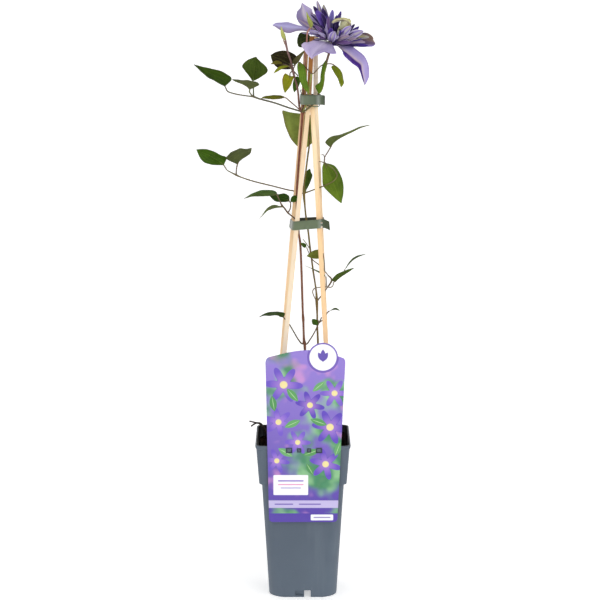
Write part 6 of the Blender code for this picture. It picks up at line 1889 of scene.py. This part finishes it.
# %% Measured narrow petals
# Root, tip, width, way the upper face looks, fold in degrees, arch and colouring of each.
PETALS = [
    ((25.2, 14, 656.5), (15.9, 20, 689.6), 5.8, (0.1, -1, 0.2), 30, 1.0, "pale"),
    ((29.7, 12, 654.3), (23.3, 20, 685.3), 7.0, (-0.2, -1, 0.1), 24, 0.6, "cream"),
    ((30.8, 10, 652.1), (33.9, 15, 679.5), 6.6, (-0.3, -1, 0.1), 30, 0.8, "violet"),
    ((33.2, 14, 653.1), (43.7, 18, 678.1), 6.4, (0.6, -0.8, 0), 40, 0.5, "deep"),
    ((34.4, 16, 651.9), (39, 20, 673.3), 6.0, (0.2, -1, 0.1), 30, 0.5, "deep"),
    ((27.4, 5, 652.2), (11.7, 12, 683.6), 8.5, (0.5, -1, 0.3), 40, 1.5, "dusk"),
    ((29, 0, 652.3), (14.8, 4, 678.6), 11, (0.3, -1, 0.3), 40, 2.0, "rich"),
    ((28.9, -3, 651.3), (21, 2, 675.6), 6.5, (0.6, -0.8, 0), 50, 1.0, "dark"),
    ((29.5, -2, 651.2), (26.4, 4, 673.1), 5.0, (0.2, -1, 0.1), 40, 0.6, "deep"),
    ((27.3, 0, 650.1), (8.6, -4, 674.2), 6.0, (0.8, -0.5, 0.6), 60, 0.8, "dark"),
    ((27.2, -6, 649.1), (8.4, -10, 667.8), 5.4, (0.6, -0.6, 0.6), 50, 0.8, "dark"),
    ((27.2, -8, 648), (9, -14, 662.9), 4.6, (0.4, -0.8, 0.5), 44, 0.8, "dark"),
    ((26.1, -8, 649.1), (12.8, -17, 662.6), 5.4, (0.3, -1, 0.5), 40, 1.0, "mauve"),
    ((27.2, -10, 648.1), (4.7, -20, 656.8), 5.0, (0.2, -0.8, 0.8), 48, 1.8, "light"),
    ((27.2, -8, 646.3), (-1.4, -22, 653.6), 4.2, (0.1, -0.4, 1), 50, 1.6, "light"),
    ((27.1, -12, 647.6), (16.2, -22, 654.2), 4.4, (0.2, -0.9, 0.5), 40, 1.4, "light"),
    ((28.3, -10, 646.4), (17.6, -18, 649.9), 4.6, (0.2, -0.9, 0.5), 40, 0.6, "mauve"),
    ((28.4, -6, 644.6), (13.1, -15, 646.6), 4.4, (0.1, -0.5, 0.9), 40, 0.6, "light"),
    ((29.4, -10, 643.6), (31.6, -14, 659.9), 9.0, (0.3, -1, 0.2), 60, -2.0, "rich"),
    ((29, -10, 648.1), (28.6, -6, 672.2), 4.6, (-0.3, -1, 0.1), 36, 0.6, "mauve"),
    ((28.3, -12, 647), (26.4, -14, 664.4), 3.0, (-0.6, -0.8, 0.1), 60, 0.5, "light"),
    ((31.1, -14, 643.7), (29.8, -19, 653.9), 4.6, (-0.4, -1, 0.3), 50, 1.0, "mauve"),
    ((31.6, -14, 643), (35.8, -21, 656), 9.6, (-0.1, -1, 0.4), 46, 1.8, "light"),
    ((32.7, -15, 643.1), (40.6, -25, 649.8), 6.4, (-0.2, -0.8, 0.7), 50, 1.4, "light"),
    ((37.5, 0, 652.3), (38.2, -7, 667.7), 6.0, (0.3, -1, 0.1), 50, 0.8, "dark"),
    ((52.2, -2, 660.2), (32.9, -15, 664.7), 4.6, (0.0, -0.5, 0.9), 60, 5.2, "cream"),
    ((42, -3, 652.4), (52.7, -6, 669.7), 8.4, (-0.2, -1, 0.3), 40, 2.0, "olive"),
    ((41, -14, 643.6), (57.4, -17, 653.6), 6.0, (0.1, -1, 0.5), 40, 1.0, "light"),
    ((39.6, -10, 643.6), (44, -14, 657.1), 7.0, (0.2, -1, 0.3), 40, 1.0, "deep"),
    ((39.6, -12, 644.8), (54.6, -15, 661.2), 10, (-0.3, -0.9, 0.4), 44, 2.0, "light"),
    ((37.3, -14, 643.7), (52.6, -23, 650.4), 7.6, (-0.1, -0.8, 0.8), 40, 1.6, "blush"),
    ((44.3, -2, 646.7), (54.6, -3, 664.7), 4.6, (0.2, -1, 0.2), 40, 0.8, "mauve"),
    ((44.3, -4, 647.9), (58.8, -6, 663.7), 4.8, (0.2, -1, 0.2), 50, 0.8, "dark"),
    ((46.5, -6, 646.8), (63.8, -8, 661), 5.2, (0.1, -1, 0.3), 50, 0.8, "deep"),
    ((47.5, -10, 647), (62.3, -13, 657.8), 4.8, (0.1, -1, 0.5), 40, 1.0, "cream"),
    ((45.2, -12, 644.1), (68.1, -15, 656), 11, (0.1, -0.9, 0.6), 36, 1.8, "light"),
    ((48.6, -14, 644.2), (71.4, -18, 650.7), 6.4, (0.1, -0.8, 0.7), 50, 1.2, "olive"),
    ((45.2, -12, 643.2), (66.4, -20, 647), 6.0, (0.1, -0.8, 0.7), 50, 1.0, "deep"),
    ((45.2, -14, 642.6), (70.3, -20, 643.7), 6.4, (0.0, -0.8, 0.7), 46, 1.2, "blush"),
    ((45.3, -10, 641.3), (73.9, -14, 639), 5.4, (0.0, -0.9, 0.5), 40, 0.8, "deep"),
    ((33.9, -14, 643), (55.1, -25, 642.5), 6.0, (0.0, -0.9, 0.6), 40, 1.0, "mauve"),
    ((33.9, -12, 641.9), (61.5, -20, 639), 4.2, (0.0, -0.9, 0.5), 40, 0.6, "dark"),
    ((67, -2, 653.5), (79.8, -6, 646.4), 6.4, (0.1, -0.8, 0.7), 30, 0.8, "brown"),
    ((55.5, -9, 647.4), (75, -12, 649.3), 5.4, (0.1, -0.9, 0.5), 40, 1.0, "cream"),
]
print("measured petals", len(PETALS))

# %% Rings of petals at the back, and small petals in the heart
BLOOM_AT = (31.8, 0.0, 648.0)
PETAL_SEED = 11
# How many petals, how steep, how wide and how far the ring leans.
PETAL_RINGS = [(9, 16, 13.0, 0.02), (9, 33, 12.5, -0.08), (8, 51, 12.0, -0.18),
               (6, 68, 11.0, -0.26), (3, 82, 10.0, -0.3)]
PETAL_REACH = 44.0
PETAL_HIGH_CUT = 15.0
PETAL_ROLL = 42
PETAL_ROOT = 2.0
PETAL_RING_RISE = 0.8
# Small petals that fill the heart: root, from and to which angle, least and greatest length, how many, kinds.
HEART_FANS = [((28.6, -5, 647), 98, 186, 9, 19, 24, "dim"), ((38, -9, 645), 12, 84, 8, 17, 16, "mixed"),
              ((44, -11, 644.4), -2, 46, 8, 20, 20, "mixed"), ((33, -13, 644), 20, 150, 5, 9, 10, "mixed")]
HEART_KINDS = {"mixed": ["dark", "deep", "light", "dark", "cream", "rich", "dark", "blush", "mauve"],
               "dim": ["dark", "dusk", "mauve", "dark", "dusk", "rich", "dark", "light", "deep"]}
HEART_SEED = 29
RING_KINDS = ["deep", "rich", "dark", "violet", "blush"]
PETAL_BACK = 0.2
PETAL_OUTLINE = (0.85, 0.66)
print("rings", len(PETAL_RINGS), "and heart petals", sum(fan[5] for fan in HEART_FANS))

# %% Tones of the bloom
# Upper face from its left edge to its right edge, under face, middle bar and how strong the bar is. The
# colours across the upper faces paint shade on the halves turned from the light, darkest on the violet half
# of the low right sepal.
SEPAL_TONES_AND_SHADE = {
    "left": (((136, 118, 146), (168, 156, 198), (200, 194, 240), (172, 162, 214), (186, 178, 222)),
             (136, 124, 180), (196, 180, 214), 0.1),
    "top": (((138, 126, 166), (146, 134, 174), (150, 138, 178), (220, 210, 220), (178, 164, 210),
             (188, 174, 214), (194, 180, 216)), (132, 120, 180), (206, 190, 210), 0.1),
    "front": (((168, 150, 208), (188, 176, 216), (176, 162, 208), (202, 190, 224), (184, 170, 212),
               (200, 186, 224), (214, 198, 230)), (160, 146, 204), (206, 192, 222), 0.2),
    "low right": (((150, 134, 200), (176, 162, 218), (172, 158, 214), (184, 170, 214), (206, 186, 200),
                   (76, 46, 128), (66, 38, 118), (70, 42, 124), (96, 72, 156)), (72, 46, 128),
                  (196, 176, 200), 0.0),
    "right": (((134, 102, 84), (160, 136, 124), (106, 84, 110), (92, 74, 108), (140, 124, 188)),
              (104, 84, 130), (150, 130, 150), 0.1),
    "cap": (((196, 196, 146), (206, 204, 160), (170, 160, 96)), (176, 178, 130), (210, 208, 170), 0.5),
    "arch": (((150, 120, 130), (204, 200, 150), (196, 192, 120)), (150, 130, 140), (214, 208, 160), 0.2),
}
BACK_TONE = ((140, 126, 194), (130, 116, 184), (190, 170, 200), 0.4)
# Upper face, its rim, under face, middle bar and how strong the bar is on each face. The dark and dusk kinds
# are near black, painted shade for petals that lie in the shadow deep in the bloom.
PETAL_TONES = {
    "deep": ((62, 42, 130), (116, 100, 178), (84, 66, 148), (140, 120, 180), 0.2, 0.5),
    "rich": ((84, 56, 154), (128, 108, 190), (90, 66, 154), (110, 84, 178), 0.3, 0.4),
    "dusk": ((40, 26, 70), (96, 84, 140), (56, 40, 100), (70, 54, 110), 0.2, 0.4),
    "dark": ((30, 16, 66), (112, 98, 144), (56, 40, 100), (90, 70, 126), 0.3, 0.5),
    "violet": ((120, 110, 192), (172, 166, 216), (124, 112, 190), (150, 140, 206), 0.4, 0.5),
    "mauve": ((92, 62, 122), (172, 152, 190), (110, 84, 140), (150, 120, 160), 0.5, 0.5),
    "blush": ((150, 126, 164), (204, 190, 210), (140, 120, 156), (190, 174, 166), 0.7, 0.7),
    "light": ((142, 124, 188), (226, 218, 236), (150, 134, 186), (206, 198, 190), 0.7, 0.7),
    "pale": ((126, 108, 172), (200, 190, 214), (140, 126, 176), (212, 204, 176), 1.0, 1.0),
    "cream": ((148, 142, 150), (206, 200, 210), (150, 146, 146), (200, 198, 154), 1.0, 1.0),
    "olive": ((132, 120, 100), (190, 182, 176), (120, 110, 96), (178, 174, 116), 1.0, 1.0),
    "brown": ((112, 88, 76), (156, 134, 118), (100, 80, 76), (140, 118, 96), 0.6, 0.6),
}
# Painted shade: the near black violet that each petal blends into towards its root in the shaded heart, over
# the first half of its length.
PETAL_HEART_SHADE = ((22, 10, 38), 0.5)
print("kinds of petal", len(PETAL_TONES))

# %% Assemble the bloom
# How fine each kind of blade is, how thick, and how deep its ripples and veins are.
SEPAL_FORM = {"rows": 44, "cols": 28, "thick": 0.5, "crown": 0.06, "ripple": 0.02, "veins": 0.1}
BACK_FORM = {"start": 0.0, "rows": 40, "cols": 26, "thick": 0.5, "ripple": 0.02, "veins": 0.18}
PETAL_FORM = {"start": 0.0, "rows": 22, "cols": 12, "thick": 0.4, "ripple": 0.04, "veins": 0.2}
HEART_FORM = {"start": 0.0, "rows": 14, "cols": 8, "thick": 0.35, "ripple": 0.04, "veins": 0.1}
RING_FORM = {"start": 0.0, "rows": 18, "cols": 10, "thick": 0.45, "ripple": 0.02, "veins": 0.2}


def add_petal(sheet, grid, kind):
    """A petal with a pale rim, and painted shade where it leaves the heart."""
    body, rim, under, bar, strength, under_strength = PETAL_TONES[kind]
    sheet.add(grid, (rim, *[body] * 5, rim), under, bar, strength, under_strength, PETAL_HEART_SHADE)


def add_measured(sheet):
    """The wide sepals on their rails, the plain ones at the back, and the measured petals."""
    for name, rails in SEPAL_RAILS.items():
        sheet.add(rail_grid(*rails, **SEPAL_FORM), *SEPAL_TONES_AND_SHADE[name])
    for row in BACK_SEPALS:
        sheet.add(blade_grid(*row, **BACK_FORM), *BACK_TONE)
    for *measures, kind in PETALS:
        add_petal(sheet, blade_grid(*measures, 0.0, PETAL_OUTLINE, **PETAL_FORM), kind)


def add_heart(sheet):
    """Fans of small petals, each turned, sized and coloured a little differently."""
    small = random.Random(HEART_SEED)
    for root, first, last, least, most, count, kinds in HEART_FANS:
        for k in range(count):
            angle = math.radians(first + (last - first) * (k + small.uniform(0.1, 0.9)) / count)
            way = Vector((math.cos(angle), -small.uniform(0.05, 0.6), math.sin(angle))).normalized()
            start = Vector(root) + Vector([small.uniform(-1.2, 1.2) for _ in range(3)])
            face = (small.uniform(-0.7, 0.7), -1, small.uniform(0.1, 0.9))
            grid = blade_grid(start, start + way * small.uniform(least, most), small.uniform(2.4, 5.0), face,
                              small.uniform(30, 90), small.uniform(-1.5, 1.5), 0.0, PETAL_OUTLINE,
                              **HEART_FORM)
            add_petal(sheet, grid, small.choice(HEART_KINDS[kinds]))


def add_rings(sheet):
    """Rings of petals, of which only those that point to the back are kept."""
    centre = Vector(BLOOM_AT)
    draw = random.Random(PETAL_SEED)
    for ring, (count, rise, width, lean) in enumerate(PETAL_RINGS):
        axis = Vector((lean, 0, 1)).normalized()
        across = axis.cross(Vector((0, 1, 0))).normalized()
        other = axis.cross(across)
        for k in range(count):
            angle = 2 * math.pi * (k + 0.5 * (ring % 2) + draw.uniform(-0.15, 0.15)) / count
            lift = math.radians(rise + draw.uniform(-6, 6))
            out = across * math.cos(angle) + other * math.sin(angle)
            way = out * math.cos(lift) + axis * math.sin(lift)
            high = max(0.0, 0.6 * way.x + 0.8 * way.z)
            long = (PETAL_REACH - PETAL_HIGH_CUT * high) * draw.uniform(0.86, 1.04)
            face = axis * math.cos(lift) - out * math.sin(lift)
            face.rotate(Quaternion(way, math.radians(draw.uniform(-PETAL_ROLL, PETAL_ROLL))))
            root = centre + way * PETAL_ROOT + axis * (PETAL_RING_RISE * ring)
            grid = blade_grid(root, root + way * long, width, face, draw.uniform(20, 50),
                              -draw.uniform(1.5, 4.0), 0.0, LANCE, **RING_FORM)
            if way.y > PETAL_BACK:
                add_petal(sheet, grid, RING_KINDS[(ring + k) % len(RING_KINDS)])


bloom = Sheet()
add_measured(bloom)
add_heart(bloom)
add_rings(bloom)
bloom_mesh = bloom.mesh("bloom")
adopt("bloom", bloom_mesh, PETAL_LOOK, ("bloom",))
print("bloom", triangles(bloom_mesh), "triangles")

# %% The green base under the bloom
RECEPTACLE = [(31.8, 0, 639.6, 1.8), (32.2, 0, 642.6, 3.4), (32.6, 0, 646.5, 5.0), (33.2, 0, 650, 5.0)]
RECEPTACLE_TONES = ((120, 100, 84), (128, 130, 70))
RECEPTACLE_STEP = 0.8
core = (smooth_run(RECEPTACLE, RECEPTACLE_STEP), RECEPTACLE_TONES)
grow_tubes("bloom_base", [core], BUD_LOOK, CORE_SKIN)

# %% [markdown]
# ## Studio
# The plant stands on a pale floor that curves up into a backdrop, under large soft lights. The camera
# stands where the photographer's did: a little above the plant's top, looking slightly down.

# %% Floor and backdrop
FLOOR_FLAT, FLOOR_END, FLOOR_WALL, FLOOR_TURNS = 4.0, 6.0, 4.0, 96
FLOOR_GLOW = 0.5


def make_floor():
    """A disc whose edge curves up into a wall."""
    profile = [(0.0, 0.0), (1.0, 0.0), (FLOOR_FLAT, 0.0)]
    for k in range(1, 13):
        angle = k * math.pi / 24
        profile.append((FLOOR_FLAT + (FLOOR_END - FLOOR_FLAT) * math.sin(angle),
                        (FLOOR_END - FLOOR_FLAT) * (1 - math.cos(angle))))
    profile.append((FLOOR_END, FLOOR_WALL))
    points, faces = [(0, 0, 0)], []
    for radius, height in profile[1:]:
        for k in range(FLOOR_TURNS):
            angle = 2 * math.pi * k / FLOOR_TURNS
            points.append((radius * math.cos(angle), radius * math.sin(angle), height))
    for k in range(FLOOR_TURNS):
        faces.append((0, 1 + k, 1 + (k + 1) % FLOOR_TURNS))
    faces += [face[::-1] for face in tube_faces(len(profile) - 1, FLOOR_TURNS, 1)]
    mesh = bpy.data.meshes.new("floor")
    mesh.from_pydata(points, [], faces)
    mesh.shade_smooth()
    look = Look("pale floor", Roughness=0.9)
    look.put(look.shader.inputs["Base Color"], (0.9, 0.9, 0.9))
    look.put(look.shader.inputs["Emission Color"], (1.0, 1.0, 1.0))
    look.put(look.shader.inputs["Emission Strength"], FLOOR_GLOW)
    mesh.materials.append(look.mat)
    obj = bpy.data.objects.new("floor", mesh)
    bpy.context.scene.collection.objects.link(obj)


make_floor()
print("floor", FLOOR_END, "m to its wall")

# %% Lights
LIGHT_AIM = Vector((0, 0, 0.4))
SKY_GLOW = 0.2
# Name, place, width of the square and power of each.
LIGHTS = [
    ("key", (1.5, -2.0, 1.9), 1.2, 15.0), ("fill", (-1.9, -1.6, 1.1), 1.4, 3.0),
    ("top", (0.0, 0.2, 2.6), 1.6, 8.0), ("back", (-0.6, 2.2, 1.6), 1.2, 4.0),
]
for name, place, size, power in LIGHTS:
    lamp = bpy.data.lights.new(name, "AREA")
    lamp.shape, lamp.size, lamp.energy = "SQUARE", size, power
    obj = bpy.data.objects.new(name, lamp)
    obj.location = place
    aim = LIGHT_AIM - Vector(place)
    obj.rotation_euler = aim.to_track_quat("-Z", "Y").to_euler()
    bpy.context.scene.collection.objects.link(obj)
world = bpy.data.worlds.new("studio")
bpy.context.scene.world = world
world.use_nodes = True
world.node_tree.nodes["Background"].inputs["Color"].default_value = (1, 1, 1, 1)
world.node_tree.nodes["Background"].inputs["Strength"].default_value = SKY_GLOW
bpy.context.scene.view_settings.view_transform = "Standard"
print("lights", len(LIGHTS))

# %% Camera
CAMERA_AT = (-0.00338, -2.2, 0.7079)
CAMERA_PITCH = 9.3385
CAMERA_LENS = 115.15
CAMERA_SENSOR = 36.0
camera = bpy.data.objects.new("camera", bpy.data.cameras.new("camera"))
camera.data.lens, camera.data.sensor_width = CAMERA_LENS, CAMERA_SENSOR
camera.location = CAMERA_AT
camera.rotation_euler = (math.radians(90 - CAMERA_PITCH), 0, 0)
bpy.context.scene.collection.objects.link(camera)
bpy.context.scene.camera = camera
print("camera", CAMERA_AT, "lens", CAMERA_LENS)

# %% Sizes and the finish
bpy.context.view_layer.update()
print("all pieces", sum(triangles(o.data) for o in PIECES), "triangles")
